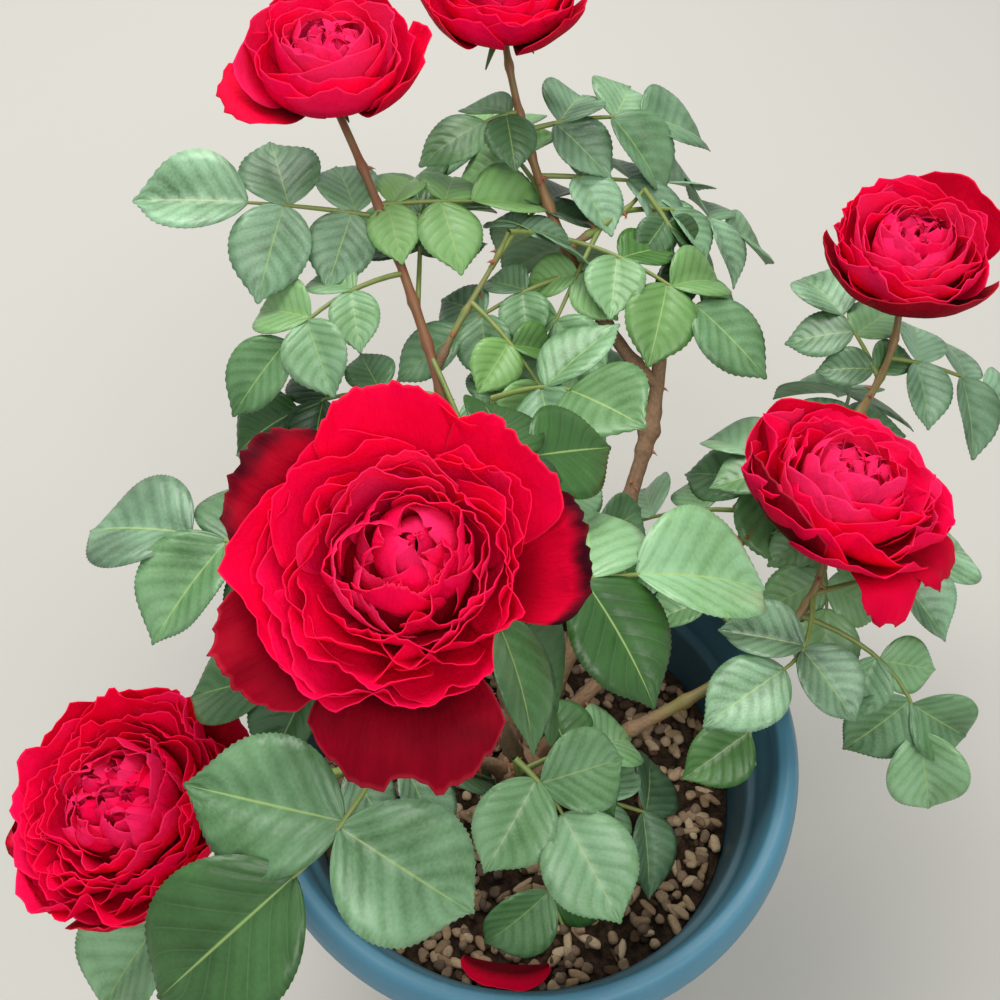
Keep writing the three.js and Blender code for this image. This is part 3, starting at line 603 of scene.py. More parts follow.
# The leaves of a shoot: how many, the shares of the stem between which they grow, their size, the first one's
# heading, their rise and their seed. placed holds what is given one by one, such as where a leaf stands (at),
# how its stalk droops and sweeps aside, how it rolls and how wide its leaflets spread.
# A placed leaf may list a tone and a sheen level for each leaflet. These are painted light: lighter, with
# more painted sheen, on the leaflets that catch the light, and darker on those in shade.
SHOOTS = {
    "main": dict(count=6, start=0.56, end=0.93, size=52, first=200, rise=10, seed=3, placed={
        0: dict(at=0.66, heading=185, rise=8, droop=30, sweep=-9, stalk=55, size=49, leaflets=3,
                spread=(58, 70)),
        1: dict(at=0.83, heading=155, rise=14, droop=28, sweep=6, stalk=54, size=54, roll=0, spread=(70, 70)),
        2: dict(at=0.84, heading=257, rise=5, droop=28, sweep=-42, stalk=77, size=67, roll=-20, leaflets=3,
                spread=(93, 66), tone=(0.5, 0.4, 0.32), painted_sheen=(0.7, 0.42, 0.1)),
        3: dict(at=0.89, heading=20, rise=-3, droop=12, sweep=-9, stalk=60, size=62, roll=1, leaflets=3,
                spread=(68, 67), tone=(0.75, 0.3, 0.75), painted_sheen=(0.8, 0.05, 0.9)),
        4: dict(at=0.92, heading=28, rise=-22, droop=45, sweep=-49, stalk=32, size=63, roll=-13, leaflets=3,
                spread=(70, 70), tone=(0.4, 0.4, 0.38), painted_sheen=(0.3, 0.3, 0.15)),
        5: dict(at=0.97, heading=72, rise=11, droop=38, sweep=-40, stalk=65, size=47, roll=25,
                spread=(52, 70)),
    }),
    "left": dict(count=4, start=0.42, end=0.88, size=48, first=120, rise=10, seed=7, placed={
        1: dict(at=0.71, heading=230, rise=-2, droop=24, sweep=-6, stalk=52, size=59, roll=0, leaflets=3),
    }),
    "right": dict(count=7, start=0.44, end=0.94, size=48, first=60, rise=6, seed=11, placed={
        0: dict(at=0.46, heading=2, rise=0, stalk=30, size=44, leaflets=3),
        1: dict(at=0.58, heading=285, rise=-8, stalk=30, size=46, leaflets=3),
        2: dict(at=0.85, heading=260, rise=5, droop=9, sweep=-49, stalk=32, size=48, roll=-3, leaflets=3,
                spread=(70, 79)),
        3: dict(at=0.79, heading=337, rise=0, droop=48, sweep=-50, stalk=43, size=49, roll=23,
                spread=(32, 71)),
        4: dict(at=0.85, heading=13, rise=10, droop=27, sweep=19, stalk=45, size=50, roll=8, leaflets=3),
        5: dict(at=0.98, heading=101, rise=12, droop=32, sweep=29, stalk=46, size=45, roll=3, leaflets=3),
        6: dict(at=0.66, heading=130, rise=12, stalk=36, size=46, leaflets=5),
    }),
    "upper_right": dict(count=7, start=0.46, end=0.9, size=52, first=20, rise=8, seed=13, placed={
        5: dict(at=0.84, heading=108, rise=20, droop=23, sweep=2, stalk=6, size=46, roll=-5),
        6: dict(at=0.88, heading=357, rise=-7, droop=30, sweep=8, stalk=17, size=56, roll=8, leaflets=5,
                spread=(78, 67)),
    }),
    "upper_left": dict(count=7, start=0.48, end=0.86, size=52, first=30, rise=6, seed=17, placed={
        5: dict(at=0.82, heading=180, rise=13, droop=12, sweep=-4, stalk=15, size=62, roll=-15,
                spread=(78, 71)),
        6: dict(at=0.84, heading=6, rise=4, droop=20, sweep=15, stalk=6, size=50, roll=5, leaflets=5,
                spread=(68, 82)),
    }),
    "top": dict(count=6, start=0.36, end=0.84, size=50, first=200, rise=8, seed=23, placed={
        3: dict(at=0.63, heading=6, rise=-3, droop=27, sweep=37, stalk=23, size=56, roll=3),
        4: dict(at=0.75, heading=19, rise=6, droop=30, sweep=9, stalk=19, size=61, roll=12,
                spread=(47, 59)),
        5: dict(at=0.8, heading=207, rise=12, droop=21, sweep=2, stalk=7, size=43, roll=0,
                spread=(72, 66)),
    }),
    "side": dict(count=3, start=0.4, end=1, size=46, first=250, rise=0, seed=29, placed={
        2: dict(heading=306, rise=-18, droop=30, stalk=22, size=42, roll=-13, leaflets=5, spread=(40, 66)),
    }),
    "middle": dict(count=3, start=0.5, end=1, size=46, first=300, rise=0, seed=31, placed={
        2: dict(heading=43, rise=-29, droop=31, sweep=11, stalk=24, size=55, roll=-20, leaflets=5,
                tone=0.4, painted_sheen=0.4),
    }),
    "behind": dict(count=4, start=0.5, end=1, size=48, first=200, rise=4, seed=37, placed={
        2: dict(at=0.8, heading=165, rise=6, droop=30, stalk=18, size=50, leaflets=3),
        3: dict(heading=350, rise=33, droop=2, sweep=-49, stalk=30, size=57, roll=17,
                tone=0.35, painted_sheen=0.5),
    }),
    "front": dict(count=4, start=0.5, end=1, size=46, first=10, rise=4, seed=19, placed={
        1: dict(at=0.62, heading=282, rise=-24, droop=19, sweep=21, stalk=52, size=48, roll=1, leaflets=3,
                spread=(70, 64)),
        2: dict(at=0.8, heading=30, rise=0, stalk=26, size=44, leaflets=3),
        3: dict(at=1, heading=322, rise=-22, droop=0, sweep=-22, stalk=14, size=53, roll=9,
                spread=(62, 73), tone=(0.5, 0.6, 0.65), painted_sheen=(0.5, 0.6, 0.8)),
    }),
}
# The shoots near the viewer, whose leaves are finer, and how much paler than the rule each shoot's leaves
# are.
# The paleness is painted highlight: a lighter tone and more painted sheen.
NEAR_SHOOTS = ("main", "left", "right", "front")
PALENESS = dict(main=0, left=0.05, front=0, right=0.3, upper_right=0.42)
FAR_PALENESS = 0.18


class Stem:
    """The curve of one stem, with places by share of its length."""

    SAMPLES = 300

    def __init__(self, foot, lift, tip, arrive):
        if isinstance(foot[0], str):
            start = stems[foot[0]].at(foot[1])
        else:
            start = direction(foot[0], 0) * foot[1]
            start[2] = SOIL_LEVEL + STUMP_BRANCHING
        end = direction(tip[0], 0) * tip[1]
        end[2] = tip[2]
        reach = [start, start + direction(*lift[:2]) * lift[2], end - direction(*arrive[:2]) * arrive[2], end]
        self.points = bezier(reach, np.linspace(0, 1, self.SAMPLES))
        gone = np.linalg.norm(np.diff(self.points, axis=0), axis=1)
        self.length = gone.sum()
        self.share = np.concatenate([[0], np.cumsum(gone)]) / self.length

    def at(self, share):
        """The point at a share of the length."""
        return np.array([np.interp(share, self.share, self.points[:, k]) for k in range(3)])

    def path(self, shares):
        return np.array([self.at(share) for share in shares])


stems = {}
for name, stem in STEMS.items():
    stems[name] = Stem(stem["foot"], stem["lift"], stem["tip"], stem["arrive"])


def compound_leaf(start, heading, sweep_by, rise, droop, stalk, size, leaflets, roll, spread):
    """A drooping stalk with leaflets in pairs and one at its end: its path, and each leaflet's frame."""
    pairs = (leaflets - 1) // 2
    gap = size * PAIR_GAP
    run = stalk + gap * (pairs - 1) + size * END_GAP
    step = run / STALK_STEPS

    def way(length):
        return direction(heading + sweep_by * (length / run) ** 2, rise - droop * length / run)

    path = [start]
    for i in range(STALK_STEPS):
        path.append(path[-1] + way((i + 0.5) * step) * step)
    path = np.array(path)

    def frame_at(length):
        """A point on the stalk, the way ahead there and the way up from the leaf."""
        forward = way(length)
        normal = np.array([0, 0, 1.0]) - forward * forward[2]
        root = np.array([np.interp(length / step, range(STALK_STEPS + 1), path[:, k]) for k in range(3)])
        return root, forward, turned(normal / np.linalg.norm(normal), forward, roll)

    blades = []
    for pair in range(pairs):
        share = LAST_PAIR if pair == pairs - 1 else FIRST_PAIR
        for hand, angle in ((1, spread[0]), (-1, spread[1])):
            root, forward, normal = frame_at(stalk + gap * pair + hand * STALK_RADIUS)
            out = turned(forward, normal, hand * angle)
            tilt = np.cross(out, normal)
            forward, face = (turned(arm, tilt, -PAIR_SLOPE) for arm in (out, normal))
            blades.append((root, forward, face, size * share))
    blades.append((*frame_at(run - STALK_RADIUS), size))
    return path, blades


def shoot_leaves(name, count, start, end, size, first, rise, seed, placed):
    """The leaves of one shoot. Each grows a set turn round from the last. placed holds those given one by
    one.
    """
    for i in range(count):
        grown = dict(
            at=start + (end - start) * (i / (count - 1)),
            heading=first + GOLDEN_ANGLE * i + 30 * (chance(seed, i) - 0.5),
            rise=rise + 24 * (chance(seed, i + 20) - 0.5),
            stalk=size * (0.55 + 0.25 * chance(seed, i + 40)),
            size=size * (0.86 + 0.26 * chance(seed, i + 60)),
            leaflets=3 if i == count - 1 else 5,
            droop=30 + 16 * chance(seed, i + 80),
            sweep=30 * (chance(seed, i + 120) - 0.5),
            roll=24 * (chance(seed, i + 100) - 0.5),
            spread=(66, 66),
            tone=spread_of(seed, i + 140, 0.0, 0.85),
            # The painted sheen: a pale painted highlight, at a random level for each leaf.
            painted_sheen=spread_of(seed, i + 160, 0, 0.7),
        )
        grown.update(placed.get(i, {}))
        tone, painted_sheen, at = grown.pop("tone"), grown.pop("painted_sheen"), grown.pop("at")
        path, blades = compound_leaf(start=stems[name].at(at), sweep_by=grown.pop("sweep"), **grown)
        yield path, blades, tone, painted_sheen


# BLOOMS

def petal(pile, template, place, turn, wide, profile, seed, tone, root=0.55, corner=0.3, notch=0.0,
          curl=0.0, fold=0.0, ruffle=0.0, frill=0.0, nibble=1.0, scorch=0.0, pale=0.3):
    """One petal. Its profile runs out from the bloom's axis and up, and its width is an arc round the axis.

    root is its foot's width as a share, corner rounds its shoulders, notch dents its tip, nibble roughens it.
    curl bends its sides outwards, fold creases its middle towards the axis, ruffle and frill wave its margin.
    scorch is how dark the tip is and pale how strong the painted highlight along the margin is. The tone
    falls off towards the foot as painted shade deep in the bloom. place maps the bloom's own frame to the
    plant's. Lengths are in millimetres.
    """
    u, v, faces = template
    v = 1 - (1 - v) ** 1.35
    ragged = nibble * (0.012 * np.sin(23 * u + seed) + 0.01 * np.sin(37 * u + 2.1 * seed))
    along = v * (1 - corner * np.abs(u) ** 2.8 - notch * np.exp(-((u / 0.16) ** 2)) + ragged * v**4)
    spot = bezier(profile, along)
    ahead = bezier(profile, along + 0.01) - spot
    ahead /= np.linalg.norm(ahead, axis=1)[:, None]
    waves = sum(
        height * np.sin(pace * u + shift * seed)
        for height, pace, shift in ((1, 2.6, 1.7), (0.7, 5.1, 2.9), (0.45, 8.3, 4.3))
    )
    fine = np.sin(17 * u + 3.7 * seed) + 0.6 * np.sin(29 * u + 5.9 * seed)
    out = (
        curl * u**2 * along
        - fold * (1 - np.abs(u)) ** 2 * along
        + ruffle * waves * along**2.4
        + frill * fine * along**6
    )
    spot = spot + np.stack([ahead[:, 1], -ahead[:, 0]], -1) * out[:, None]
    fullness = root + (1 - root) * np.sin(math.pi * (0.2 + along * 0.6))
    angle = np.radians(turn + wide / 2 * u * fullness)
    points = np.stack([spot[:, 0] * np.cos(angle), spot[:, 0] * np.sin(angle), spot[:, 1]], -1)
    # Painted shade: the tone falls off towards the petal's foot, deep in the bloom's folds, and rises a
    # little towards the tip.
    depth = 0.14 * (v - 0.5) - 0.5 * (1 - smooth(0, 0.64, v))
    tints = np.stack([tone + depth, np.full_like(u, pale), smooth(0.6, 1.0, v) * scorch], -1)
    pile.put(place(points), faces, ((u + 1) / 2, v), tints)


def bloom_place(name, heading, lean):
    """The map from a bloom's own frame, with its axis up, to its seat on the stem."""
    axis = Vector(direction(heading, 90 - lean))
    turn = np.array(Vector((0, 0, 1)).rotation_difference(axis).to_matrix())
    seat = stems[name].at(1) + np.array(axis) * (HIP_RADIUS + CLEARANCE)
    return lambda points: points @ turn.T + seat


# The innermost and the outermost ring of petals: where they start, how they swell and where they end, as
# shares of the bloom's radius out from its axis and up.
INNER_RING = dict(start=(0.26, 0.3), belly=(0.42, 0.4), shoulder=(0.43, 0.76), tip=(0.3, 0.9))
OUTER_RING = dict(start=(0.42, 0.12), belly=(0.86, 0.12), shoulder=(1.0, 0.42), tip=(1.06, 0.62))

# A guard petal turns out below the rings: its heading and width in degrees, how far it reaches and how high
# its edge stands as shares of the bloom's radius, its tone, and how much it is ruffled, scorched and notched.
# The darkest guard tones are partly painted shade, on guards that hang low in a bloom's shade.
Guard = namedtuple("Guard", "at wide reach edge tone ruffle scorch notch", defaults=(0.04, 0.1, 0.03))

BLOOMS = {
    "main": dict(
        radius=40.5, cup=0, turn=20, heading=270, lean=18, seed=1, layers=8, bundles=1, rosy=0.86,
        skew=(0.15, 145), crowd=(5, 7), folds=0.46,
        extra=[
            dict(outline=[(0.1, 0.4), (0.4, 0.46), (0.5, 0.74), (0.24, 0.94)], turn=262, wide=92, tone=0.72,
                 ruffle=0.5, frill=0.1, curl=1.5),
            dict(outline=[(0.06, 0.4), (0.34, 0.5), (0.42, 0.8), (0.16, 0.98)], turn=345, wide=76, tone=0.86,
                 ruffle=0.6, frill=0.1, curl=1.0, notch=0.14, fold=4),
            dict(outline=[(0.06, 0.4), (0.32, 0.5), (0.38, 0.78), (0.16, 0.97)], turn=160, wide=70, tone=0.8,
                 ruffle=0.6, frill=0.1, curl=1.0, notch=0.1, fold=3),
        ], guards=[
            # The deep tones of these three low guards are partly painted shade under the bloom.
            Guard(270, 72, 1.6, 0.02, 0.04, 0.03, 0, 0.08),
            Guard(210, 50, 1.54, 0.4, 0.08, 0.07),
            Guard(148, 54, 1.56, 0.48, 0.16, 0.06, 0.68),
            Guard(100, 60, 1.36, 0.8, 0.62, 0.05, 0),
            Guard(45, 60, 1.28, 0.8, 0.6, 0.05, 0),
            Guard(5, 56, 1.38, 0.66, 0.34, 0.05, 0.78),
        ]),
    "left": dict(
        radius=47, cup=0.1, turn=5, heading=205, lean=16, seed=2, layers=8, bundles=5, rosy=0.86, guards=[
            Guard(30, 60, 1.26, 0.5, 0.2, 0.05, 0.6),
            Guard(120, 66, 1.08, 0.6, 0.45, 0.05, 0.4),
            Guard(205, 66, 1.06, 0.5, 0.25, 0.05, 0.2),
            Guard(280, 66, 1.03, 0.6, 0.3, 0.05),
        ]),
    "right": dict(
        radius=48, cup=0.15, turn=30, heading=35, lean=16, seed=3, rosy=0.94, crowd=(5, 7), guards=[
            Guard(292, 44, 1.15, -0.18, 0.55, 0.05, 0),
            Guard(332, 44, 1.24, 0, 0.36, 0.06, 0),
            # This guard's tone of 0 is painted shade: it hangs in shade beneath the bloom.
            Guard(205, 80, 1, 0.76, 0, 0.03, 0.2),
            Guard(100, 90, 1.1, 0.7, 0.4),
        ]),
    "upper_right": dict(
        radius=44, cup=0.5, turn=12, heading=250, lean=6, seed=4, rosy=0.96, crowd=(4, 6), folds=0.3, guards=[
            Guard(278, 100, 1.1, 0.78, 0.12),
            Guard(197, 76, 1.06, 0.62, 0.24),
            Guard(40, 90, 1.1, 0.8, 0.4),
        ]),
    "upper_left": dict(
        radius=43, cup=0.6, turn=40, heading=275, lean=4, seed=5, layers=5, rosy=1.0, crowd=(4, 5), folds=0.2,
        guards=[
            Guard(208, 70, 1.34, 0.36, 0.42, 0.05, 0.3),
            Guard(348, 84, 1.2, 0.84, 0.55),
            Guard(90, 90, 1.12, 0.8, 0.4),
        ]),
    "top": dict(
        radius=41, cup=0.6, turn=8, heading=270, lean=8, seed=6, rosy=0.86, crowd=(4, 6), folds=0.3, guards=[
            Guard(200, 80, 1.08, 0.7, 0.4, scorch=0.2),
            Guard(320, 80, 1.1, 0.66, 0.4, scorch=0.2),
            Guard(80, 90, 1.1, 0.7, 0.4, scorch=0.2),
        ]),
}


def grow_heart(put, place, luck, radius, turn, bundles, rosy):
    """Bundles of folded petals round the bloom's middle, and one more on it where there are several."""
    reach = min(0.38, 0.62 / bundles**0.5)
    count = round(3 + 5 / bundles)
    for bundle in range(bundles + (bundles > 1)):
        heading = turn + 360 / bundles * (bundle + 0.4 * next(luck))
        offset = radius * (0.44 - 0.75 * reach) * direction(heading, 0) * (bundle < bundles)
        for k in range(count):
            share = k / (count - 1)
            size = reach * (0.3 + 0.7 * share)
            height = 0.92 + 0.06 * next(luck) - 0.1 * share
            tip = 0.3 - 0.9 * (1 - share) ** 2.2
            put(
                [(size * 0.6, 0.3), (size * 1.1, 0.5), (size * 1.35, 0.76), (size * tip, height)],
                at=lambda points, offset=offset: place(points + offset),
                turn=heading + GOLDEN_ANGLE * k + 40 * next(luck),
                wide=200 + 60 * next(luck) - 50 * share,
                tone=rosy + 0.3 * next(luck),
                notch=0.08 * share,
                curl=radius * 0.1 * size * next(luck),
                fold=radius * 0.3 * size * next(luck),
                ruffle=radius * 0.045 * size,
                nibble=0.2,
                pale=0.15,
            )


def grow_rings(put, luck, radius, turn, layers, rosy, cup, skew, crowd, folds):
    """Rings of petals from the heart outwards."""
    for ring in range(layers):
        share = ring / (layers - 1)
        count = round(crowd[0] + (crowd[1] - crowd[0]) * share)
        outline = [
            [inner + (outer - inner) * share for inner, outer in zip(INNER_RING[part], OUTER_RING[part])]
            for part in ("start", "belly", "shoulder", "tip")
        ]
        close = cup * (0.04 + 0.17 * share)
        for i in range(count):
            lean = 0.18 * next(luck) * (0.4 + share)
            bent = [
                ((out + push) * (1 - close * k / 3), up + 0.2 * cup * share * k / 3)
                for k, ((out, up), push) in enumerate(zip(outline, (0, 0, lean / 2, lean)))
            ]
            heading = turn + 360 / count * (i + 0.37 * ring + 0.5 * next(luck))
            longer = skew[0] * math.cos(math.radians(heading - skew[1]))
            put(
                bent,
                stretch=1 + (0.16 - 0.1 * cup) * next(luck) + longer,
                lift=1 + 0.22 * next(luck),
                turn=heading,
                wide=360 / count * (1.62 + 0.5 * next(luck)),
                tone=rosy - 0.16 * share + 0.26 * next(luck),
                notch=0.05 + 0.08 * next(luck),
                curl=radius * 0.1 * (next(luck) - 0.1),
                fold=radius * (0.06 + folds * next(luck)) * (1 - 0.3 * share),
                ruffle=radius * (0.034 + 0.046 * share),
                frill=radius * (0.006 + 0.012 * share),
                pale=0.16 - 0.06 * share,
            )


def grow_bloom(name, heading, lean, radius, cup, turn, seed, rosy, guards, layers=6, bundles=4, extra=(),
               skew=(0, 0), crowd=(6, 9), folds=0.38):
    """A full double bloom: a heart of folded petals, rings round it, and guard petals that turn out below.

    cup is 0 for a flat open bloom and 1 for a deep one. crowd is how many petals the innermost and the
    outermost ring have, and folds is how deep they crease. skew makes the petals of one side longer: its
    share and its heading. extra holds petals that are placed one by one.
    """
    pile = Pile()
    template = flat_grid(*(MAIN_PETAL_GRID if name == "main" else PETAL_GRID))
    place = bloom_place(name, heading, lean)
    luck = (chance(seed * 7, n) - 0.5 for n in itertools.count())

    def put(outline, stretch=1.0, lift=1.0, at=place, **shape):
        profile = [(out * radius * stretch, up * radius * lift) for out, up in outline]
        petal(pile, template, at, profile=profile, seed=1000 * next(luck), **shape)

    grow_heart(put, place, luck, radius, turn, bundles, rosy)
    grow_rings(put, luck, radius, turn, layers, rosy, cup, skew, crowd, folds)
    # The core ball under the petals takes a deep tone, 0.1: painted shade deep inside the bloom.
    ball, faces = ball_grid(5)
    core = radius * (ball * [0.52, 0.52, 0.26] + [0, 0, 0.36])
    pile.put(place(core), faces, (ball[:, 0], ball[:, 1]), (0.1, 0, 0))
    for shape in extra:
        put(**shape)
    for guard in guards:
        put(
            [(0.12, 0.04), (0.95, 0), (1.1, 0.55), (guard.reach, guard.edge)],
            turn=guard.at,
            wide=guard.wide,
            tone=guard.tone,
            corner=0.2,
            notch=guard.notch,
            ruffle=radius * guard.ruffle,
            frill=radius * 0.012,
            scorch=guard.scorch,
            pale=0.2,
        )
    pile.piece("petals_" + name, petal_skin, "petal", ["bloom_" + name], sheet=PETAL_SHEET)


# LEAFLETS

def leaflet(pile, template, root, forward, normal, length, seed, tone, painted_sheen):
    """A serrated blade with a sunken midrib and quilted flesh between its side veins."""
    u, v, faces = template
    side = np.cross(normal, forward)
    rows = len(np.unique(v.round(6))) - 1
    row = np.rint(v * rows)
    shape = np.sin(math.pi * np.clip(v, 0.003, 0.997) ** 0.8) ** (0.7 + 0.45 * smooth(0.6, 1, v))
    half = length * LEAFLET_WIDTH / 2 * spread_of(seed, 1, 0.95, 1.08)
    edge = np.abs(u) > 0.99
    tooth = np.where(edge & (row % 2 == 1), 1.0, 0.0) * smooth(0, 0.1, v)
    across = u * half * (shape + 0.02 * tooth)
    along = length * v + tooth * length * 0.4 / rows
    aside = np.abs(u)
    phase = v * SIDE_VEINS - aside * VEIN_SLANT
    window = smooth(0, 0.12, v) * smooth(0, 0.12, 1 - v) * smooth(0, 0.2, aside) * smooth(0, 0.15, 1 - aside)
    quilt = spread_of(seed, 7, 0.004, 0.013) * np.abs(np.sin(math.pi * phase)) * window
    fold = spread_of(seed, 2, 0.1, 0.3)
    cup = spread_of(seed, 3, 0.04, 0.12)
    wave = spread_of(seed, 4, 0.0, 0.02)
    ripple = wave * np.sin(9 * v + seed) * u
    rise = length * (fold * aside * shape - cup * aside**2.2 * shape + quilt + ripple)
    curl = spread_of(seed, 5, 0.15, 0.5)
    bend = curl * along / length
    ahead = length * np.sin(bend) / curl + rise * np.sin(bend)
    up = -length * (1 - np.cos(bend)) / curl + rise * np.cos(bend)
    points = root + forward * ahead[:, None] + side * across[:, None] + normal * up[:, None]
    pile.put(points, faces[:, ::-1], ((u + 1) / 2, v), (tone, painted_sheen, 0))


def in_a_bloom(spot):
    """Whether a spot lies inside a bloom."""
    for name, spec in BLOOMS.items():
        axis = direction(spec["heading"], 90 - spec["lean"])
        offset = spot - stems[name].at(1) - axis * (HIP_RADIUS + 0.42 * spec["radius"])
        up = np.dot(offset, axis)
        out = np.linalg.norm(offset - axis * up)
        if (out / spec["radius"]) ** 2 + (up / (0.55 * spec["radius"])) ** 2 < 0.9:
            return True
    return False


def in_the_pot(spot):
    """Whether a spot lies in the potting mix, the pot's wall or its rim."""
    out = math.hypot(spot[0], spot[1])
    if spot[2] > POT_HEIGHT + 2 or out > POT_RIM_RADIUS + 4:
        return False
    return spot[2] < SOIL_LEVEL + 4 or out > POT_MOUTH_RADIUS - 10


def leaflet_tints(tone, painted_sheen, count, seed, paler):
    """Each leaflet's tone and painted sheen: the leaf's own list where it has one, and else varied round its
    level.
    """
    if np.ndim(tone):
        return list(zip(tone, painted_sheen))
    tints = []
    for leaflet_seed in range(seed, seed + count):
        varied_tone = tone + paler / 2 + spread_of(leaflet_seed, 6, -0.28, 0.28)
        tints.append((varied_tone, painted_sheen + paler + spread_of(leaflet_seed, 8, -0.35, 0.4)))
    return tints


def grow_leaves():
    """The leaves of each shoot as one piece, and all the leaf stalks as another."""
    near = flat_grid(*NEAR_LEAF_GRID)
    far = flat_grid(*FAR_LEAF_GRID)
    stalk_tube = rolled_grid(7, STALK_STEPS)
    radii = np.linspace(STALK_RADIUS * 1.45, STALK_RADIUS * 0.75, STALK_STEPS + 1)
    stalks = Pile()
    for name, spec in SHOOTS.items():
        pile = Pile()
        grid = near if name in NEAR_SHOOTS else far
        paler = PALENESS.get(name, FAR_PALENESS)
        for number, (path, blades, tone, painted_sheen) in enumerate(shoot_leaves(name, **spec)):
            kept = 0
            first = spec["seed"] * 100 + number * 10
            tints = leaflet_tints(tone, painted_sheen, len(blades), first, paler)
            for i, (root, forward, normal, length) in enumerate(blades):
                spots = [root + forward * length * share for share in (0.3, 0.6, 0.95)]
                if any(in_a_bloom(spot) or in_the_pot(spot) for spot in spots):
                    continue
                kept += 1
                leaflet(pile, grid, root, forward, normal, length, first + i, *tints[i])
            if kept:
                sweep(stalks, stalk_tube, path, radii, (0, STEMS[name]["red"] * 0.3, 0))
        pile.piece("leaves_" + name, leaf_top, "leaf", ["shoot_" + name], sheet=LEAF_SHEET, under=leaf_under)
    stalks.piece("leaf_stalks", stem_skin, "leaf")


# STEMS, THORNS, HIPS

def stem_radii(number, length, joint, thick, knuckle=None):
    """A stem's radius at each ring: a taper that changes at the joint, and a swelling at each knot."""
    def lump(share, width):
        return np.exp(-(((RING_SHARES - share) * length / width) ** 2))

    foot, middle, tip = thick
    radii = np.where(
        RING_SHARES < joint,
        foot + (middle - foot) * RING_SHARES / joint,
        middle + (tip - middle) * (RING_SHARES - joint) / max(1 - joint, 0.01),
    )
    for k in range(int(length / KNOT_GAP)):
        knot = (k + 0.5 + 0.4 * (chance(number, k) - 0.5)) * KNOT_GAP / length
        radii = radii + 0.32 * middle * lump(knot, 3.2)
    if knuckle:
        radii = radii + 2.4 * lump(knuckle, 5)
    if joint == 1:
        radii[-1] *= 0.3
        return radii
    return radii * (1 - 0.2 * smooth(0.2, 0.9, RING_SHARES))


def grow_thorns(pile, template, number, stem, radii):
    """Hooked thorns all round a stem."""
    t = np.linspace(0, 1, THORN_STEPS + 1)[:, None]
    for k in range(int(stem.length / THORN_GAP)):
        at = spread_of(number + 50, k, 0.12, 0.94)
        along = stem.at(min(at + 0.01, 1)) - stem.at(at - 0.01)
        along /= np.linalg.norm(along)
        out = turned(np.cross(along, [0.3, 0.5, 0.81]), along, 360 * chance(number + 60, k))
        out /= np.linalg.norm(out)
        size = spread_of(number + 70, k, 2.6, 5.2)
        base = np.interp(at, RING_SHARES, radii) * 0.8
        path = stem.at(at) + out * (base + size * t) - along * (size * 0.45 * t**2)
        sweep(pile, template, path, size * 0.34 * (1 - t[:, 0]) ** 1.2 + 0.06)


def grow_stems():
    """The canes, brown at their feet and green above the joint, and their thorns."""
    canes, thorns = Pile(), Pile()
    tube, thorn_tube = rolled_grid(14, STEM_RINGS), rolled_grid(6, THORN_STEPS)
    for number, (name, spec) in enumerate(STEMS.items()):
        stem, joint = stems[name], spec["joint"]
        radii = stem_radii(number, stem.length, joint, spec["thick"], spec.get("knuckle"))
        woody = 1 - smooth(joint - 0.15, joint + 0.2, RING_SHARES)

        def swell(angle, v, number=number, woody=woody):
            rough = np.interp(v, RING_SHARES, woody) * 0.07 + 0.012
            ridges = np.sin(3 * angle + 14 * v + number) + np.sin(7 * angle - 31 * v)
            ridges = ridges + np.sin(5 * angle + 97 * v)
            return 1 + rough * ridges * 0.5

        def tint(v, woody=woody, red=spec["red"]):
            return np.stack([np.interp(v, RING_SHARES, woody), np.full_like(v, red), np.zeros_like(v)], -1)

        sweep(canes, tube, stem.path(RING_SHARES), radii, tint, swell)
        grow_thorns(thorns, thorn_tube, number, stem, radii)
    canes.piece("stems", stem_skin, "bark", ["cane_" + name for name in STEMS])
    thorns.piece("thorns", thorn_finish(), "bark")


def upright(height):
    """A straight path up the pot's axis."""
    return np.stack([0 * height, 0 * height, height], -1)


def grow_stump():
    """The knobbly crown at the mix's level that the canes spring from."""
    pile = Pile()
    steps = np.linspace(0, 1, 25)
    outline = np.interp(steps, [0, 0.14, 0.36, 0.66, 0.88, 1], [1.42, 1.1, 0.94, 1.04, 0.8, 0.05])
    path = upright(SOIL_LEVEL + CLEARANCE + STUMP_HEIGHT * steps)

    def swell(angle, v):
        lumps = np.sin(5 * angle + 3 * v) + np.sin(3 * angle - 5 * v + 1) + 0.6 * np.sin(11 * angle + 17 * v)
        return 1 + 0.05 * lumps

    sweep(pile, rolled_grid(40, 24), path, outline * STUMP_RADIUS, (1, 0.2, 0), swell)
    pile.piece("rootstock", stem_skin, "bark", ["stump"])


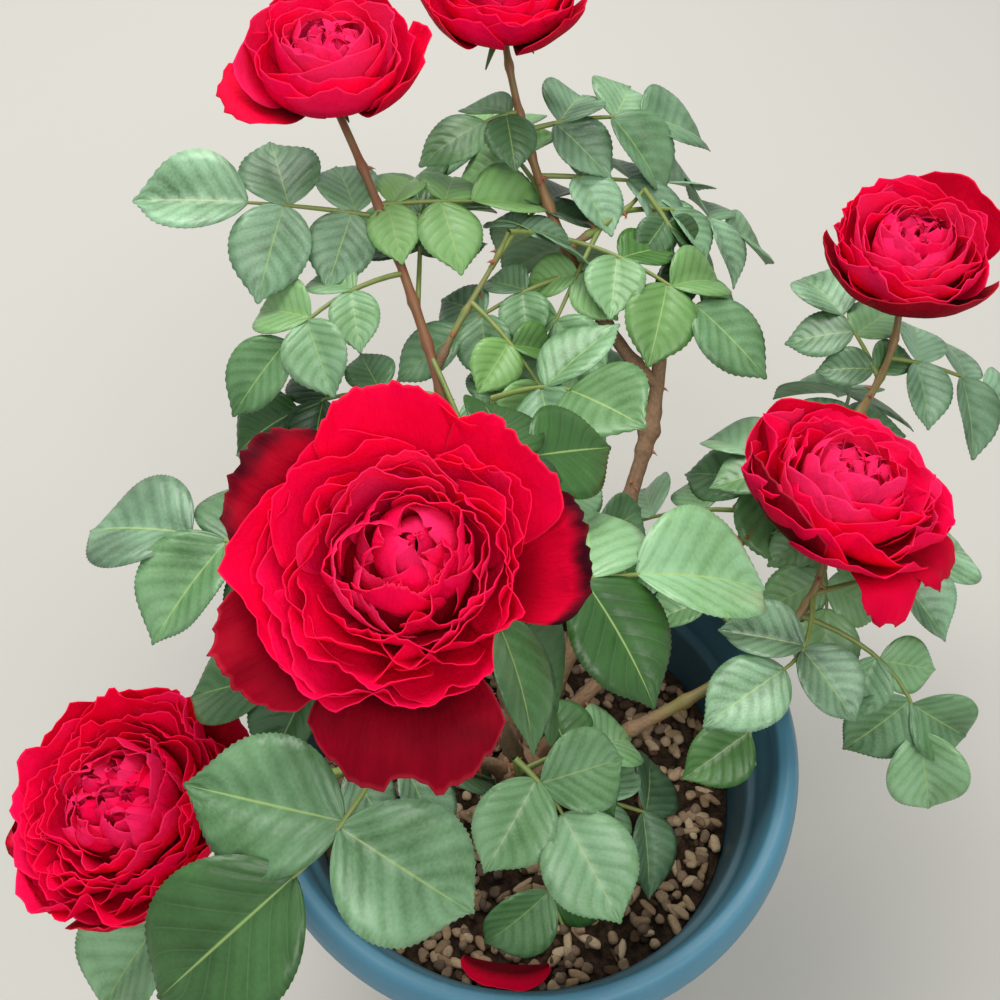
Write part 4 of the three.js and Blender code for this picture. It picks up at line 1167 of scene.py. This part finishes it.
def grow_hips():
    """The green urn and the narrow sepals under each bloom."""
    ball, faces = ball_grid(4)
    u, v, sepal_faces = flat_grid(4, 12)
    hips, sepals = Pile(), Pile()
    for number, (name, spec) in enumerate(BLOOMS.items()):
        place = bloom_place(name, spec["heading"], spec["lean"])
        urn = HIP_RADIUS * (ball * [0.95, 0.95, 1.15] - [0, 0, 0.95])
        hips.put(place(urn), faces, (ball[:, 0], ball[:, 1]), (0, 0.25, 0))
        for k in range(SEPALS):
            turn = np.array(Matrix.Rotation(math.radians(360 / SEPALS * k + 20 * number), 3, "Z"))
            droop = spread_of(number, k, -0.5, 0.55)
            length = spread_of(number, k + 10, 17, 25)
            width = 3.2 * (1 - v) ** 0.8 + 0.2
            out = HIP_RADIUS * 0.6 + length * np.sin(0.5 + v) * v
            up = length * v * droop - 7 * v**2
            spot = np.stack([out, u * width, up + 0.6 * np.abs(u)], -1)
            # The sepals' tint: a tone of 0.5, a little painted sheen and some redness.
            sepals.put(place(spot @ turn.T), sepal_faces[:, ::-1], ((u + 1) / 2, v), (0.5, 0.1, 0.15))
    hips.piece("hips", stem_skin, "leaf")
    sepals.piece("sepals", leaf_top, "leaf", sheet=SEPAL_SHEET, under=leaf_under)


# POT, MIX AND WHAT LIES ON IT

def inner_wall(height):
    """The pot's inner radius at a height below the ledge, with room for the mix."""
    low, high = POT_FOOT_RADIUS - POT_WALL + 1, POT_MOUTH_RADIUS - 8
    return low + (high - low) * (height - POT_FLOOR) / (POT_HEIGHT - LEDGE_DROP - POT_FLOOR)


def grow_pot():
    """The pot, spun from its profile, with its corners rounded."""
    top, rim, mouth = POT_HEIGHT, POT_RIM_RADIUS, POT_MOUTH_RADIUS
    profile = [
        (0, 0), (POT_FOOT_RADIUS, 0), (POT_FOOT_RADIUS + 3, 3), (rim - 19, top - RIM_DEPTH - 14),
        (rim - 13, top - RIM_DEPTH - 1), (rim - 3, top - RIM_DEPTH + 3), (rim, top - RIM_DEPTH + 12),
        (rim - 1, top - 9), (rim - 4, top - 2), (rim - 7, top), (mouth + 2, top - 2), (mouth, top - 9),
        (mouth - 3, top - LEDGE_DROP + 2), (mouth - 8, top - LEDGE_DROP), (inner_wall(POT_FLOOR), POT_FLOOR),
        (0, POT_FLOOR),
    ]
    bm = bmesh.new()
    verts = [bm.verts.new((x * MM, 0, z * MM)) for x, z in profile]
    edges = [bm.edges.new(pair) for pair in zip(verts, verts[1:])]
    bmesh.ops.spin(bm, geom=verts + edges, cent=(0, 0, 0), axis=(0, 0, 1), angle=2 * math.pi, steps=120,
                   use_merge=True)
    bmesh.ops.remove_doubles(bm, verts=bm.verts, dist=1e-6)
    bmesh.ops.recalc_face_normals(bm, faces=bm.faces)
    level = []
    for edge in bm.edges:
        low, high = sorted((vert.co for vert in edge.verts), key=lambda spot: spot.z)
        if high.z - low.z < 1e-7 and low.xy.length > 0.01 and abs(low.xy.length - high.xy.length) < 1e-5:
            level.append(edge)
    bmesh.ops.bevel(bm, geom=level, offset=1.6 * MM, segments=3, profile=0.5, affect="EDGES", material=-1,
                    clamp_overlap=True)
    mesh = bpy.data.meshes.new("pot_shell")
    bm.to_mesh(mesh)
    bm.free()
    mesh.polygons.foreach_set("use_smooth", np.ones(len(mesh.polygons), bool))
    dress(stand("pot_shell", mesh, pot_finish()), ["pot"])


def fill_pot():
    """The potting mix, with an uneven top."""
    radius = inner_wall(SOIL_LEVEL) - 0.6
    mix = Pile()
    angle, v, faces = rolled_grid(96, 40)
    out = radius * np.clip(v, 0.002, 1)
    x, y = out * np.cos(angle), out * np.sin(angle)
    lumps = 1.2 * np.sin(x / 7) * np.cos(y / 9) + 0.8 * np.sin(x / 3.1 + y / 4.2)
    lumps = lumps + 0.6 * np.sin(y / 2.3 - x / 5)
    mix.put(np.stack([x, y, SOIL_LEVEL - 0.6 + lumps * 0.7], -1), faces[:, ::-1], (v, v))
    widths = [0.01, inner_wall(POT_FLOOR + 1) - 1, radius, radius]
    body = np.interp(np.linspace(0, 1, 13), [0, 0.02, 0.98, 1], widths)
    sweep(mix, rolled_grid(96, 12), upright(np.linspace(POT_FLOOR + 0.5, SOIL_LEVEL - 0.6, 13)), body)
    mix.piece("potting_soil", soil_finish(), "potting_mix", ["potting_mix"])


def scatter_pellets():
    """Bark pellets and fibres on the mix."""
    radius = inner_wall(SOIL_LEVEL) - 3.6
    pellets = Pile()
    ball, faces = ball_grid(2)
    for i in range(PELLETS):
        out = radius * math.sqrt(chance(90, i))
        heading = 2 * math.pi * chance(91, i)
        _, *limits, tones, grey = next(kind for kind in PELLET_KINDS if chance(92, i) < kind[0])
        size = np.array([spread_of(93 + k, i, *limit) for k, limit in enumerate(limits)])
        tone = spread_of(96, i, *tones)
        lumps = 1 + 0.12 * np.sin(2.6 * ball[:, 0] + i) + 0.1 * np.sin(3.4 * ball[:, 1] + 2 * i)
        shape = ball * lumps[:, None] * size
        shape[:, 2] += 0.12 * shape[:, 0] ** 2 / size[0]
        spin = Matrix.Rotation(2 * math.pi * chance(97, i), 3, "Z")
        turn = np.array(spin @ Matrix.Rotation(spread_of(98, i, -0.5, 0.5), 3, "Y"))
        height = SOIL_LEVEL + size[2] * 0.35 + 1.6 * chance(99, i)
        spot = np.array([out * math.cos(heading), out * math.sin(heading), height])
        pellets.put(shape @ turn.T + spot, faces, (ball[:, 0], ball[:, 1]), (tone, grey, 0))
    pellets.piece("bark_pellets", granule_finish(), "potting_mix")


def drop_petal():
    """One petal that lies on the mix inside the pot's front."""
    dropped = Pile()
    profile = [(94, SOIL_LEVEL + 4.5), (99, SOIL_LEVEL + 4.1), (104, SOIL_LEVEL + 5), (107, SOIL_LEVEL + 10)]
    petal(
        dropped, flat_grid(20, 14), lambda points: points, turn=-95.6, wide=27, profile=profile,
        seed=4, tone=0.35, root=0.85, corner=0.8, ruffle=0.5, frill=0.2,
    )
    dropped.piece("dropped_petal", petal_skin, "petal", ["fallen_petal"], sheet=DROPPED_SHEET)


# The whole plant
grow_pot()
fill_pot()
scatter_pellets()
drop_petal()
grow_stump()
grow_stems()
grow_hips()
grow_leaves()
for name, spec in BLOOMS.items():
    grow_bloom(name, **spec)


# STAGE: a plain floor, soft light and the camera

# Each lamp's name, place, size and power
LAMPS = (("overhead", (-0.4, 1.1, 2.1), 1.7, 58), ("front", (0.5, -1.2, 1.9), 1.3, 23))
LAMP_COLOUR = (1.0, 0.985, 0.96)
LIT_SPOT = (0, 0, 0.3)
SKY_COLOUR = (0.86, 0.93, 1.0, 1)
SKY_STRENGTH = 0.66
CAMERA_SPOT = (-0.012, -0.248, 0.78)
CAMERA_TILT = 36
CAMERA_LENS = 42.48
SENSOR_WIDTH = 36


def stage():
    """The floor, the sky, the lamps and the camera, in metres."""
    bm = bmesh.new()
    bmesh.ops.create_grid(bm, x_segments=1, y_segments=1, size=6)
    mesh = bpy.data.meshes.new("floor")
    bm.to_mesh(mesh)
    bm.free()
    finish = Finish("floor").surface(base_color=paint(176, 172, 164), roughness=0.85)
    stand("floor", mesh, finish)

    world = bpy.data.worlds.new("daylight")
    bpy.context.scene.world = world
    world.use_nodes = True
    sky = world.node_tree.nodes["Background"]
    sky.inputs["Color"].default_value = SKY_COLOUR
    sky.inputs["Strength"].default_value = SKY_STRENGTH

    for name, spot, size, power in LAMPS:
        light = bpy.data.lights.new(name, "AREA")
        light.size = size
        light.energy = power
        light.color = LAMP_COLOUR
        lamp = bpy.data.objects.new(name, light)
        lamp.location = spot
        lamp.rotation_euler = (Vector(LIT_SPOT) - Vector(spot)).to_track_quat("-Z", "Y").to_euler()
        bpy.context.scene.collection.objects.link(lamp)

    camera = bpy.data.objects.new("camera", bpy.data.cameras.new("camera"))
    camera.data.sensor_fit = "HORIZONTAL"
    camera.data.sensor_width = SENSOR_WIDTH
    camera.data.lens = CAMERA_LENS
    camera.location = CAMERA_SPOT
    camera.rotation_euler = (math.radians(CAMERA_TILT), 0, 0)
    bpy.context.scene.collection.objects.link(camera)
    bpy.context.scene.camera = camera
    bpy.context.scene.view_settings.view_transform = "Standard"


stage()
